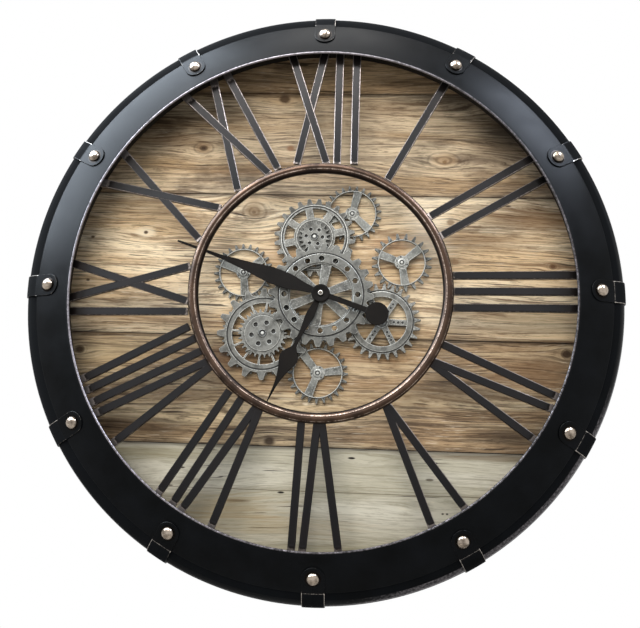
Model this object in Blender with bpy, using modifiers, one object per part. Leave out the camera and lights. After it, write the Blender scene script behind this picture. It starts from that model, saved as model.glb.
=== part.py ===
"""Gear wall clock: a black sheet-metal case with riveted straps, a dial of wooden boards, roman numerals of flat
bar that stand free between the case and an inner ring, two hands, and a train of meshing gears.

Metres, +Z up. The clock hangs upright on a wall at y = 0 and faces -Y. The origin is the top of the keyhole slot
in the hanger plate, on the wall plane, where a screw carries the clock.

The pieces are drawn in the dial's frame: x to the right, y up, z away from the wall, and zero at the centre of
the dial. One empty, turned to face -Y, carries them all. Angles are counted anticlockwise from the right, and
clock angles clockwise from twelve.
"""

import math

import bmesh
import bpy
from mathutils import Matrix

# Clearances
TOUCH_GAP = 0.0003        # between faces that meet
RUNNING_FIT = 0.00005     # on the radius, between a turning shaft and its bore

# Case: a drum with a conical face, a rolled lip round the opening and a folded hem on the wall
CASE_RADIUS = 0.300
CASE_DEPTH = 0.0785       # height of the face over the wall, at the opening
FACE_WIDTH = 0.046        # from the case's side in to the opening
FACE_TILT = math.radians(18.4)
SHOULDER_RADIUS = 0.014
CASE_SHEET = 0.0015
LIP_OVERHANG = 0.005
LIP_BEAD = 0.0016         # radius of the rolled lip
FLANGE_DROP = 0.006       # how far the inner flange reaches below the middle of the numerals
HEM_WIDTH = 0.004
HEM_HEIGHT = 0.006
LEDGE_WIDTH = 0.0065      # ring inside the case that the boards lie against
LEDGE_HEIGHT = 0.003
TAB_LENGTH = 0.0115       # bent tabs that hold the boards from behind
TAB_WIDTH = 0.012
TAB_SHEET = 0.0012

# Straps over the case's face, one at each hour
STRAP_WIDTH = 0.0215
STRAP_SHEET = 0.0010
STRAP_SIDE = 0.005        # length down the straight side of the case
RIVET_INSET = 0.027       # from the case's side in to the rivet
RIVET_RADIUS = 0.00625
RIVET_HEIGHT = 0.0032

# Inner ring and numerals
RING_RADIUS = 0.127       # middle of the ring's bar
RING_BAR = 0.0054         # radius of the ring's bar
NUMERAL_SETBACK = 0.0125  # middle of the numerals and the ring, below the case's face
BAR_WIDTH = 0.0088
BAR_THICKNESS = 0.004

# Strokes of each numeral as pairs of offsets from the hour's own radius, at the outer and the inner end, counted
# in bar widths, clockwise. Strokes in one list cross or meet and are welded into one piece.
NUMERALS = {
    1: [[(-0.05, 0.05)]],
    2: [[(-1.5, -1.25)], [(1.35, 1.35)]],
    3: [[(-1.9, -1.7)], [(0.0, 0.1)], [(1.9, 1.95)]],
    4: [[(-2.95, -1.6)], [(-1.55, 0.6), (2.45, 0.85)]],
    5: [[(-2.05, -0.2), (2.1, -0.05)]],
    6: [[(-2.65, -0.55), (1.3, -0.05)], [(2.45, 1.7)]],
    7: [[(-3.6, -1.3), (0.25, -0.85)], [(1.4, 1.05)], [(3.35, 2.65)]],
    8: [[(-4.15, -1.75), (-0.15, -1.1)], [(1.15, 0.3)], [(2.65, 1.9)], [(4.05, 3.45)]],
    9: [[(-2.9, -2.75)], [(-1.4, 2.55), (2.8, -1.6)]],
    10: [[(-2.15, 2.35), (2.3, -2.1)]],
    11: [[(-2.7, 1.5), (1.25, -2.7)], [(3.0, 2.65)]],
    12: [[(-3.9, 0.5), (0.05, -3.0)], [(1.85, 1.7)], [(3.9, 3.7)]],
}

# Boards of the dial
BACK_ROOM = 0.0175        # behind the boards
BOARD_THICKNESS = 0.0085
BOARD_GAP = 0.0008
BOARD_TILT = math.radians(-0.6)
SEAM_SHARES = (0.7806, 0.3810, -0.1439, -0.5249)    # of the boards' radius, over the middle

# Layers of the gear train, from the boards outward
REAR_LIFT = 0.0022        # boards to the rear pinions and rings
REAR_THICKNESS = 0.004
WHEEL_THICKNESS = 0.003   # the wheels in front of them
LAYER_GAP = 0.0006
FINE_THICKNESS = 0.0028   # fine ring behind the centre gear
FRONT_THICKNESS = 0.003   # centre gear
RAISED_BAND = 0.0008
SMALL_THICKNESS = 0.0028  # small wheels of the rear layer
SMALL_CLEARANCE = 0.001   # in front of them
DISC_STEP = 0.0007        # cover disc on the left gear's pinion

# Gear teeth that mesh
FINE_MODULE = 0.0016      # centre gear with the upper and the left gear
REAR_MODULE = 0.0024      # left and upper gear with the small wheels of the rear layer
RIGHT_MODULE = 0.00286    # right gear with the right small wheel
PRESSURE_ANGLE = math.radians(20)
ADDENDUM = 1.0            # in modules
DEDENDUM = 1.25
BACKLASH = 0.0002
CENTRE_TEETH = 60
LEFT_PINION_TEETH = 30
LEFT_RING_TEETH = 34
UPPER_PINION_TEETH = 19
UPPER_REAR_TEETH = 16
SMALL_TEETH = 24
RIGHT_TEETH = 26
RIGHT_SMALL_TEETH = 20

# Directions from one gear's axis to the next one's
LEFT_DIRECTION = math.radians(214.35)
UPPER_DIRECTION = math.radians(97.6)
RIGHT_DIRECTION = math.radians(-22.8)
RIGHT_DISTANCE = 0.068
TOP_SMALL_DIRECTION = math.radians(34.9)
RIGHT_SMALL_DIRECTION = math.radians(71.8)
LEFT_SMALL_DIRECTION = math.radians(109.7)
LOW_SMALL_DIRECTION = math.radians(-34.6)

# Centre gear
CENTRE_SHOW_TEETH = 24    # coarse teeth of the front ring
CENTRE_TIP = 0.0546
CENTRE_ROOT = 0.0478
CENTRE_TOOTH_ROOT = 0.0095
CENTRE_TOOTH_TIP = 0.0045
CENTRE_RING_INSIDE = 0.032
CENTRE_BAND_OUTSIDE = 0.043
CENTRE_BAND_INSIDE = 0.0335
CENTRE_HOLES = 16
CENTRE_HOLE_CIRCLE = 0.0379
CENTRE_HOLE = 0.0028
CENTRE_SPOKES = 6
CENTRE_SPOKE_HUB = 0.008
CENTRE_SPOKE_RIM = 0.011
CENTRE_SPOKE_THICKNESS = 0.002
CENTRE_HUB = 0.0105
CENTRE_SLEEVE = 0.008
FINE_RIM = 0.0045         # under the roots of the fine ring
CENTRE_TURN = math.radians(12.6)
CENTRE_SPOKE_TURN = math.radians(20.5)

# Left gear
LEFT_SHOW_TEETH = 16
LEFT_TIP = 0.048
LEFT_ROOT = 0.0405
LEFT_TOOTH_ROOT = 0.0085
LEFT_TOOTH_TIP = 0.0045
LEFT_RIM_INSIDE = 0.032
LEFT_SPOKES = 12
LEFT_SPOKE = 0.0022
LEFT_HUB_DISC = 0.0265
LEFT_COVER = 0.0187
LEFT_HOLE_CIRCLE = 0.0114
LEFT_HOLE = 0.0023
LEFT_RING_RIM = 0.0043    # under the roots of the rear ring
LEFT_SPOKE_TURN = math.radians(24)
LEFT_HOLE_TURN = math.radians(10)

# Upper gear
UPPER_SHOW_TEETH = 24
UPPER_TIP = 0.0427
UPPER_ROOT = 0.037
UPPER_TOOTH_ROOT = 0.0062
UPPER_TOOTH_TIP = 0.0032
UPPER_SPOKES = 8
UPPER_SPOKE = 0.008
UPPER_RIM_INSIDE = 0.0317
UPPER_HUB_DISC = 0.0218
UPPER_HOLE_CIRCLE = 0.0086
UPPER_HOLE = 0.0018
UPPER_TURN = math.radians(9)
UPPER_SPOKE_TURN = math.radians(12.5)
UPPER_HOLE_TURN = math.radians(-4)
PINION_HOLES = 6
HOLE_DEPTH = 0.0015

# Right gear
RIGHT_RIM_INSIDE = 0.0258
RIGHT_SPOKES = 6
RIGHT_SPOKE = 0.0062
RIGHT_HUB = 0.008
RIGHT_SPOKE_HOLES = 3
RIGHT_SPOKE_HOLE = 0.0013
RIGHT_TURN = math.radians(-80.4)
RIGHT_SPOKE_TURN = math.radians(-3)

# Small wheels
SMALL_SPOKES = 3
SMALL_RIM_INSIDE = 0.0244
SMALL_SPOKE_HUB = 0.0072
SMALL_SPOKE_RIM = 0.0085
SMALL_HUB = 0.0075
TOP_SMALL_TURN = math.radians(76)
RIGHT_SMALL_TURN = math.radians(39)
LEFT_SMALL_TURN = math.radians(36)
LOW_SMALL_TURN = math.radians(8)

# Arbors of the gears
ARBOR_RADIUS = 0.003
ARBOR_SHOULDER = 0.006    # radius of the hub behind a wheel
ARBOR_CAP = 0.0045        # push-on cap behind the boards
ARBOR_CAP_HEIGHT = 0.0019
ARBOR_HEAD = 0.004
ARBOR_HEAD_HEIGHT = 0.001
SOCKET_DEPTH = 0.008      # of the driven arbors, in the motor box

# Clock movement
MOVEMENT_SIDE = 0.056
MOVEMENT_DEPTH = 0.016
MOVEMENT_CORNER = 0.005
BUSH_RADIUS = 0.005
BUSH_NUT = 0.008          # corner radius of the hexagon nut
BUSH_NUT_HEIGHT = 0.003
COLLAR_RADIUS = 0.0065
COLLAR_HEIGHT = 0.0006
KNOB_RADIUS = 0.006
KNOB_HEIGHT = 0.003
KNOB_CLEARANCE = 0.002
KNOB_RECESS = 0.004
KNOB_STEM = 0.0045
KNOB_GRIPS = 8
KNOB_GRIP_DEPTH = 0.0005

# Hands
HOUR_PIPE = 0.0025
MINUTE_ARBOR = 0.0015
MINUTE_THREAD = 0.0012
HAND_LIFT = 0.001         # hour hand's boss over the bush
HOUR_BOSS_HEIGHT = 0.0022
HAND_GAP = 0.0004
MINUTE_BOSS_HEIGHT = 0.0021
HAND_SHEET = 0.001
HOUR_BOSS = 0.0078
MINUTE_BOSS = 0.0093
HAND_NUT_RADIUS = 0.0026
HAND_NUT_HEIGHT = 0.002
HOUR_LENGTH = 0.1216
MINUTE_LENGTH = 0.160
TAIL_LENGTH = 0.061
TAIL_ROD = 0.0055
COUNTERWEIGHT = 0.0118
HOUR_CLOCK_ANGLE = math.radians(204.9)
MINUTE_CLOCK_ANGLE = math.radians(289.8)

# Half widths of the hands along their length, as shares of the length and of the blade's greatest half width
HOUR_BLADE = 0.0098
HOUR_SHAPE = ((0.06, 0.27), (0.21, 0.46), (0.37, 0.22), (0.50, 0.21), (0.535, 0.55), (0.575, 0.97), (0.605, 1.0),
              (0.64, 0.92), (0.70, 0.60), (0.77, 0.34), (0.85, 0.17), (1.0, 0.06))
MINUTE_BLADE = 0.0085
MINUTE_SHAPE = ((0.05, 0.38), (0.125, 0.58), (0.20, 0.89), (0.26, 1.0), (0.35, 1.0), (0.43, 0.80),
                (0.50, 0.61), (0.58, 0.46), (0.69, 0.23), (0.78, 0.15), (1.0, 0.05))

# Gear motor box behind the boards
BOX_DEPTH = 0.0147
BOX_LEFT = -0.080
BOX_RIGHT = 0.080
BOX_TOP_GAP = 0.002       # under the movement
BOX_HEIGHT = 0.036
BOX_EAR_WIDTH = 0.032
BOX_EAR_RISE = 0.016
BOX_CORNER = 0.004

# Hanger plate
HANG_HEIGHT = 0.232       # top of the keyhole slot over the middle of the dial
HANGER_SHEET = 0.0012
HANGER_STANDOFF = 0.0005  # from the wall
HANGER_WIDTH = 0.056
HANGER_FOOT = 0.014
HANGER_ABOVE = 0.014
HANGER_BELOW = 0.036
KEYHOLE_RADIUS = 0.0055
SLOT_RADIUS = 0.0025
SLOT_LENGTH = 0.014

# Facets of round work
CASE_STEPS = 60
SHOULDER_STEPS = 3
RING_STEPS = 40
RING_SIDES = 8
BAND_STEPS = 32           # rings and bands of the gears
HUB_STEPS = 16
ARBOR_STEPS = 8
RIVET_STEPS = 10
DOME_STEPS = 2
HOLE_STEPS = 6
DRILLING_STEPS = 5
ARC_STEPS = 3
WINDOW_STEPS = 2
CORNER_STEPS = 2

FULL_TURN = 2 * math.pi
WELD_DISTANCE = 0.000001
SINK = 0.0004             # how far welded shapes reach into each other
SHARP_ANGLE = math.radians(30)
FLAT_ANGLE = math.radians(0.05)

# Heights over the wall
BOARD_FRONT = BACK_ROOM + BOARD_THICKNESS
HUB_SEAT = BOARD_FRONT + TOUCH_GAP
REAR_Z = BOARD_FRONT + REAR_LIFT
WHEEL_Z = REAR_Z + REAR_THICKNESS
WHEEL_TOP = WHEEL_Z + WHEEL_THICKNESS
FINE_Z = WHEEL_TOP + LAYER_GAP
FRONT_Z = FINE_Z + FINE_THICKNESS
FRONT_TOP = FRONT_Z + FRONT_THICKNESS
BAND_TOP = FRONT_TOP + RAISED_BAND
PINION_TOP = FRONT_Z - TOUCH_GAP
COLLAR_Z = BAND_TOP + TOUCH_GAP
BUSH_TOP = COLLAR_Z + COLLAR_HEIGHT
HOUR_Z = BUSH_TOP + HAND_LIFT
MINUTE_Z = HOUR_Z + HOUR_BOSS_HEIGHT + HAND_GAP
MINUTE_TOP = MINUTE_Z + MINUTE_BOSS_HEIGHT
HAND_NUT_Z = MINUTE_TOP + TOUCH_GAP
NUMERAL_Z = CASE_DEPTH - NUMERAL_SETBACK

# Radii that follow from the sizes above
OPENING_RADIUS = CASE_RADIUS - FACE_WIDTH
RIVET_CIRCLE = CASE_RADIUS - RIVET_INSET
CASE_INSIDE = CASE_RADIUS - CASE_SHEET
FACET = math.cos(math.pi / CASE_STEPS)
BOARD_RADIUS = (CASE_RADIUS - HEM_WIDTH) * FACET - TOUCH_GAP
SEAMS = tuple(share * BOARD_RADIUS for share in SEAM_SHARES)


def clear_scene():
    """Remove every object, and what only those objects used."""
    for item in list(bpy.data.objects):
        bpy.data.objects.remove(item)
    for group in (bpy.data.meshes, bpy.data.curves, bpy.data.materials):
        for data in list(group):
            group.remove(data)


def new_collection(name):
    """Collection in the scene, empty and ready for the parts."""
    old = bpy.data.collections.get(name)
    if old:
        bpy.data.collections.remove(old)
    group = bpy.data.collections.new(name)
    bpy.context.scene.collection.children.link(group)
    return group


def add_object(name, data):
    """Object with this data, in the clock's collection."""
    item = bpy.data.objects.new(name, data)
    PARTS.objects.link(item)
    return item


def bake(item):
    """Swap an object for a plain welded mesh of its evaluated shape, without the lines inside its flat faces."""
    graph = bpy.context.evaluated_depsgraph_get()
    mesh = bpy.data.meshes.new_from_object(item.evaluated_get(graph))
    mesh.transform(item.matrix_basis)
    shape = bmesh.new()
    shape.from_mesh(mesh)
    bmesh.ops.remove_doubles(shape, verts=shape.verts, dist=WELD_DISTANCE)
    bmesh.ops.dissolve_limit(shape, angle_limit=FLAT_ANGLE, verts=shape.verts, edges=shape.edges)
    shape.to_mesh(mesh)
    shape.free()
    bpy.data.objects.remove(item)
    return add_object("shape", mesh)


def plate(loops, bottom, top):
    """Flat plate between two heights. The first loop is its outline and the others are its holes."""
    curve = bpy.data.curves.new("outline", "CURVE")
    curve.dimensions = "2D"
    curve.fill_mode = "BOTH"
    curve.extrude = (top - bottom) / 2
    for loop in loops:
        spline = curve.splines.new("POLY")
        spline.points.add(len(loop) - 1)
        for point, (x, y) in zip(spline.points, loop):
            point.co = (x, y, 0.0, 1.0)
        spline.use_cyclic_u = True
    item = add_object("plate", curve)
    item.location.z = (bottom + top) / 2
    return bake(item)


def cylinders(radius, bottom, top, steps=ARBOR_STEPS, centres=((0.0, 0.0),)):
    """Upright cylinders of one radius, one over each centre, as one object."""
    shape = bmesh.new()
    for x, y in centres:
        place = Matrix.Translation((x, y, (bottom + top) / 2))
        bmesh.ops.create_cone(shape, cap_ends=True, segments=steps, radius1=radius, radius2=radius,
                              depth=top - bottom, matrix=place)
    mesh = bpy.data.meshes.new("cylinders")
    shape.to_mesh(mesh)
    shape.free()
    return add_object("cylinders", mesh)


def bore(radius, clearance, bottom, top, steps=ARBOR_STEPS, centres=((0.0, 0.0),)):
    """Cutter whose flats stand a clearance away from a round shaft of this radius."""
    return cylinders((radius + clearance) / math.cos(math.pi / steps), bottom, top, steps, centres)


def turned(profile, steps, closed):
    """Profile of (radius, height) points turned round the z axis."""
    count = len(profile)
    last = count if closed else count - 1
    mesh = bpy.data.meshes.new("profile")
    mesh.from_pydata([(radius, 0.0, height) for radius, height in profile],
                     [(index, (index + 1) % count) for index in range(last)], [])
    item = add_object("turned", mesh)
    screw = item.modifiers.new("Screw", "SCREW")
    screw.steps = steps
    screw.render_steps = steps
    screw.use_merge_vertices = True
    screw.merge_threshold = WELD_DISTANCE
    return bake(item)


def boolean(operation, body, tools):
    """Body with the tools added or cut away, as one plain mesh."""
    for tool in tools:
        step = body.modifiers.new("Boolean", "BOOLEAN")
        step.operation = operation
        step.solver = "EXACT"
        step.object = tool
    result = bake(body)
    for tool in tools:
        bpy.data.objects.remove(tool)
    return result


def weld(body, *tools):
    """Union of a body and the shapes welded to it."""
    return boolean("UNION", body, tools)


def cut(body, *tools):
    """Body less the cutters."""
    return boolean("DIFFERENCE", body, tools)


def polar(radius, angle):
    """Point at a radius and an angle."""
    return radius * math.cos(angle), radius * math.sin(angle)


def arc(radius, start, end, steps, centre=(0.0, 0.0)):
    """Points of an arc, both ends included."""
    points = []
    for index in range(steps + 1):
        x, y = polar(radius, start + (end - start) * index / steps)
        points.append((centre[0] + x, centre[1] + y))
    return points


def circle(radius, steps):
    """Closed loop round the centre."""
    return arc(radius, 0.0, FULL_TURN, steps)[:-1]


def around(radius, count, start=0.0):
    """Centres spread evenly on a circle."""
    return [polar(radius, start + FULL_TURN * index / count) for index in range(count)]


def rounded(corners, radius):
    """Closed loop through the corners, each rounded by an arc."""
    loop = []
    for index, corner in enumerate(corners):
        before = unit(corner, corners[index - 1])
        after = unit(corner, corners[(index + 1) % len(corners)])
        half = math.acos(before[0] * after[0] + before[1] * after[1]) / 2
        middle = unit((0.0, 0.0), (before[0] + after[0], before[1] + after[1]))
        reach = radius / math.sin(half)
        centre = (corner[0] + middle[0] * reach, corner[1] + middle[1] * reach)
        leg = radius / math.tan(half)
        start = math.atan2(corner[1] + before[1] * leg - centre[1], corner[0] + before[0] * leg - centre[0])
        end = math.atan2(corner[1] + after[1] * leg - centre[1], corner[0] + after[0] * leg - centre[0])
        sweep = (end - start + math.pi) % FULL_TURN - math.pi
        loop += arc(radius, start, start + sweep, CORNER_STEPS, centre)
    return loop


def unit(start, end):
    """Direction from one point to another."""
    x = end[0] - start[0]
    y = end[1] - start[1]
    length = math.hypot(x, y)
    return x / length, y / length


# Teeth and wheels


def toothed_loop(teeth, turn, root, root_half, tip, tip_half):
    """Outline with straight-flanked teeth, their half angles given at the root and at the tip."""
    loop = []
    for index in range(teeth):
        middle = turn + FULL_TURN * index / teeth
        for radius, side in ((root, -root_half), (tip, -tip_half), (tip, tip_half), (root, root_half)):
            loop.append(polar(radius, middle + side))
    return loop


def show_teeth(teeth, turn, root, root_width, tip, tip_width):
    """Outline with coarse tapered teeth, which mesh with nothing."""
    return toothed_loop(teeth, turn, root, root_width / 2 / root, tip, tip_width / 2 / tip)


def involute(angle):
    """Involute function of an angle."""
    return math.tan(angle) - angle


def pitch_radius(module, teeth):
    """Pitch radius of a gear."""
    return module * teeth / 2


def root_radius(module, teeth):
    """Radius at the bottom of the tooth gaps."""
    return pitch_radius(module, teeth) - DEDENDUM * module


def mesh_teeth(module, teeth, turn):
    """Outline of a gear that meshes: its teeth have the involute's width at the root and at the tip."""
    pitch = pitch_radius(module, teeth)
    base = pitch * math.cos(PRESSURE_ANGLE)
    halves = []
    for radius in (root_radius(module, teeth), pitch + ADDENDUM * module):
        flank = math.acos(min(1.0, base / radius))
        middle = math.pi / (2 * teeth) - BACKLASH / (2 * pitch)
        halves.append((radius, middle + involute(PRESSURE_ANGLE) - involute(flank)))
    (root, root_half), (tip, tip_half) = halves
    return toothed_loop(teeth, turn, root, root_half, tip, tip_half)


def mesh_distance(module, teeth, other_teeth):
    """Distance between the axes of two gears that mesh."""
    return pitch_radius(module, teeth) + pitch_radius(module, other_teeth)


def mesh_turn(direction, turn, teeth, other_teeth):
    """Turn of the other gear whose tooth gap meets the tooth of a gear that lies in this direction from it."""
    gap = direction + math.pi - (turn - direction) * teeth / other_teeth
    return gap + math.pi / other_teeth


def windows(spokes, turn, inside, outside, hub_width, rim_width):
    """Holes between the spokes of a wheel. The spokes are centred on the turn and taper from hub to rim."""
    loops = []
    for index in range(spokes):
        start = turn + FULL_TURN * index / spokes
        end = start + FULL_TURN / spokes
        at_rim = math.asin(rim_width / 2 / outside)
        at_hub = math.asin(hub_width / 2 / inside)
        outer = arc(outside, start + at_rim, end - at_rim, WINDOW_STEPS)
        inner = arc(inside, end - at_hub, start + at_hub, WINDOW_STEPS)
        loops.append(outer + inner)
    return loops


def free_arbor(hub_top):
    """Shoulder, shaft and cap of a gear that only the boards carry."""
    cap_top = BACK_ROOM - TOUCH_GAP
    shoulder = cylinders(ARBOR_SHOULDER, HUB_SEAT, hub_top)
    shaft = cylinders(ARBOR_RADIUS, cap_top - ARBOR_CAP_HEIGHT / 2, HUB_SEAT + SINK)
    cap = cylinders(ARBOR_CAP, cap_top - ARBOR_CAP_HEIGHT, cap_top)
    return shoulder, shaft, cap


def driven_arbor(hub_top):
    """Shoulder and shaft of a gear that the motor box turns."""
    shoulder = cylinders(ARBOR_SHOULDER, HUB_SEAT, hub_top)
    shaft = cylinders(ARBOR_RADIUS, BACK_ROOM - SOCKET_DEPTH, HUB_SEAT + SINK)
    return shoulder, shaft


def arbor_head(bottom, height):
    """Round end of an arbor in front of its wheel."""
    return cylinders(ARBOR_HEAD, bottom - SINK, bottom + height)


def centre_gear():
    """Ring with coarse teeth and a drilled raised band, six spokes, a sleeve on the bush and a fine ring behind."""
    show = show_teeth(CENTRE_SHOW_TEETH, CENTRE_TURN, CENTRE_ROOT, CENTRE_TOOTH_ROOT, CENTRE_TIP, CENTRE_TOOTH_TIP)
    inside = circle(CENTRE_RING_INSIDE, BAND_STEPS)
    ring = plate([show, inside], FRONT_Z, FRONT_TOP)
    band_loops = [circle(CENTRE_BAND_OUTSIDE, BAND_STEPS), circle(CENTRE_BAND_INSIDE, BAND_STEPS)]
    band = plate(band_loops, FRONT_TOP - SINK, BAND_TOP)
    fine_inside = root_radius(FINE_MODULE, CENTRE_TEETH) - FINE_RIM
    fine_loops = [mesh_teeth(FINE_MODULE, CENTRE_TEETH, 0.0), circle(fine_inside, BAND_STEPS)]
    fine = plate(fine_loops, FINE_Z, FRONT_Z)
    rim = CENTRE_RING_INSIDE + SINK * 2
    openings = windows(CENTRE_SPOKES, CENTRE_SPOKE_TURN, CENTRE_HUB, rim, CENTRE_SPOKE_HUB, CENTRE_SPOKE_RIM)
    spider_z = FRONT_Z + SINK
    spider = plate([circle(rim + SINK, BAND_STEPS)] + openings, spider_z, spider_z + CENTRE_SPOKE_THICKNESS)
    nut_top = HUB_SEAT + BUSH_NUT_HEIGHT
    sleeve = cylinders(CENTRE_SLEEVE, nut_top + TOUCH_GAP, BAND_TOP, HUB_STEPS)
    body = weld(ring, band, fine, spider, sleeve)
    holes = cylinders(CENTRE_HOLE, FRONT_Z - SINK, BAND_TOP + SINK, HOLE_STEPS,
                      around(CENTRE_HOLE_CIRCLE, CENTRE_HOLES, math.pi / 2))
    return cut(body, holes, bore(BUSH_RADIUS, RUNNING_FIT, HUB_SEAT, BAND_TOP + SINK, HUB_STEPS))


def left_gear(pinion_turn):
    """Coarse wheel with thin spokes, a fine pinion and cover disc in front, and a toothed ring behind."""
    show = show_teeth(LEFT_SHOW_TEETH, 0.0, LEFT_ROOT, LEFT_TOOTH_ROOT, LEFT_TIP, LEFT_TOOTH_TIP)
    openings = windows(LEFT_SPOKES, LEFT_SPOKE_TURN, LEFT_HUB_DISC, LEFT_RIM_INSIDE, LEFT_SPOKE, LEFT_SPOKE)
    wheel = plate([show] + openings, WHEEL_Z, WHEEL_TOP)
    pinion = plate([mesh_teeth(FINE_MODULE, LEFT_PINION_TEETH, pinion_turn)],
                   WHEEL_TOP - SINK, PINION_TOP - DISC_STEP)
    cover = cylinders(LEFT_COVER, PINION_TOP - DISC_STEP - SINK, PINION_TOP, BAND_STEPS)
    ring_inside = root_radius(REAR_MODULE, LEFT_RING_TEETH) - LEFT_RING_RIM
    ring = plate([mesh_teeth(REAR_MODULE, LEFT_RING_TEETH, 0.0), circle(ring_inside, BAND_STEPS)],
                 REAR_Z, WHEEL_Z)
    head = arbor_head(PINION_TOP, ARBOR_HEAD_HEIGHT)
    body = weld(wheel, pinion, cover, ring, head, *driven_arbor(WHEEL_Z + SINK))
    holes = cylinders(LEFT_HOLE, PINION_TOP - HOLE_DEPTH, PINION_TOP + SINK, HOLE_STEPS,
                      around(LEFT_HOLE_CIRCLE, PINION_HOLES, LEFT_HOLE_TURN))
    return cut(body, holes)


def upper_gear(pinion_turn):
    """Coarse wheel with eight spokes, a fine pinion in front and a coarse pinion behind."""
    show = show_teeth(UPPER_SHOW_TEETH, UPPER_TURN, UPPER_ROOT, UPPER_TOOTH_ROOT, UPPER_TIP, UPPER_TOOTH_TIP)
    openings = windows(UPPER_SPOKES, UPPER_SPOKE_TURN, UPPER_HUB_DISC, UPPER_RIM_INSIDE, UPPER_SPOKE, UPPER_SPOKE)
    wheel = plate([show] + openings, WHEEL_Z, WHEEL_TOP)
    pinion = plate([mesh_teeth(FINE_MODULE, UPPER_PINION_TEETH, pinion_turn)], WHEEL_TOP - SINK, PINION_TOP)
    rear = plate([mesh_teeth(REAR_MODULE, UPPER_REAR_TEETH, 0.0)], REAR_Z, WHEEL_Z)
    head = arbor_head(PINION_TOP, ARBOR_HEAD_HEIGHT)
    body = weld(wheel, pinion, rear, head, *free_arbor(WHEEL_Z + SINK))
    holes = cylinders(UPPER_HOLE, PINION_TOP - HOLE_DEPTH, PINION_TOP + SINK, HOLE_STEPS,
                      around(UPPER_HOLE_CIRCLE, PINION_HOLES, UPPER_HOLE_TURN))
    return cut(body, holes)


def right_gear():
    """Six-spoked wheel with three small holes in each spoke, turned by the motor box."""
    openings = windows(RIGHT_SPOKES, RIGHT_SPOKE_TURN, RIGHT_HUB, RIGHT_RIM_INSIDE, RIGHT_SPOKE, RIGHT_SPOKE)
    for index in range(RIGHT_SPOKE_HOLES):
        share = (index + 1) / (RIGHT_SPOKE_HOLES + 1)
        distance = RIGHT_HUB + (RIGHT_RIM_INSIDE - RIGHT_HUB) * share
        for centre in around(distance, RIGHT_SPOKES, RIGHT_SPOKE_TURN):
            openings.append(arc(RIGHT_SPOKE_HOLE, 0.0, FULL_TURN, DRILLING_STEPS, centre)[:-1])
    wheel = plate([mesh_teeth(RIGHT_MODULE, RIGHT_TEETH, RIGHT_TURN)] + openings, WHEEL_Z, WHEEL_TOP)
    return weld(wheel, arbor_head(WHEEL_TOP, ARBOR_HEAD_HEIGHT), *driven_arbor(WHEEL_Z + SINK))


def small_wheel(module, teeth, turn, spoke_turn, bottom, top):
    """Thin-rimmed wheel with three spokes that tapers out from a small hub."""
    openings = windows(SMALL_SPOKES, spoke_turn, SMALL_HUB, SMALL_RIM_INSIDE, SMALL_SPOKE_HUB, SMALL_SPOKE_RIM)
    wheel = plate([mesh_teeth(module, teeth, turn)] + openings, bottom, top)
    return weld(wheel, arbor_head(top, ARBOR_HEAD_HEIGHT), *free_arbor(bottom + SINK))


# Case and straps


def face_height(radius):
    """Height of the case's conical face at a radius."""
    return CASE_DEPTH - (radius - OPENING_RADIUS) * math.tan(FACE_TILT)


def shoulder_centre():
    """Centre of the arc that joins the face to the side, as radius and height."""
    radius = CASE_RADIUS - SHOULDER_RADIUS
    meets_face = radius + SHOULDER_RADIUS * math.sin(FACE_TILT)
    return radius, face_height(meets_face) - SHOULDER_RADIUS * math.cos(FACE_TILT)


def case_skin(offset, inner_radius, bottom):
    """Line along the case's face, shoulder and side, an offset outside the metal, from the inside out and down."""
    centre = shoulder_centre()
    face = (inner_radius, face_height(inner_radius) + offset / math.cos(FACE_TILT))
    shoulder = arc(SHOULDER_RADIUS + offset, math.pi / 2 - FACE_TILT, 0.0, SHOULDER_STEPS, centre)
    return [face] + shoulder + [(CASE_RADIUS + offset, bottom)]


def bezel():
    """Case turned from one profile, with the bent tabs that hold the boards."""
    lip_radius = OPENING_RADIUS - LIP_OVERHANG
    lip = (lip_radius, face_height(lip_radius) - LIP_BEAD / math.cos(FACE_TILT))
    outer = case_skin(0.0, lip_radius + LIP_BEAD * math.sin(FACE_TILT), 0.0)
    hem = CASE_RADIUS - HEM_WIDTH
    ledge_z = BOARD_FRONT + TOUCH_GAP
    flange = OPENING_RADIUS + CASE_SHEET
    back = [(hem, 0.0), (hem, HEM_HEIGHT), (CASE_INSIDE, HEM_HEIGHT + CASE_SHEET),
            (CASE_INSIDE, ledge_z), (CASE_INSIDE - LEDGE_WIDTH, ledge_z),
            (CASE_INSIDE - LEDGE_WIDTH, ledge_z + LEDGE_HEIGHT), (CASE_INSIDE, ledge_z + LEDGE_HEIGHT)]
    inner = case_skin(-CASE_SHEET, flange, ledge_z + LEDGE_HEIGHT)[:-1]
    inner.reverse()
    flange_bottom = NUMERAL_Z - FLANGE_DROP
    under_face = face_height(OPENING_RADIUS) - CASE_SHEET / math.cos(FACE_TILT)
    edge = [(flange, flange_bottom), (OPENING_RADIUS, flange_bottom), (OPENING_RADIUS, under_face)]
    bead = arc(LIP_BEAD, -math.pi / 2, -3 * math.pi / 2, ARC_STEPS, lip)
    body = turned(outer + back + inner + edge + bead, CASE_STEPS, True)
    return weld(body, *[board_tab(angle) for angle in tab_angles()])


def tab_angles():
    """Angles of the tabs: one at each end of each board."""
    edges = (BOARD_RADIUS,) + SEAMS + (-BOARD_RADIUS,)
    angles = []
    for upper, lower in zip(edges, edges[1:]):
        angle = math.asin((upper + lower) / 2 / BOARD_RADIUS)
        angles += [angle, math.pi - angle]
    return angles


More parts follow.
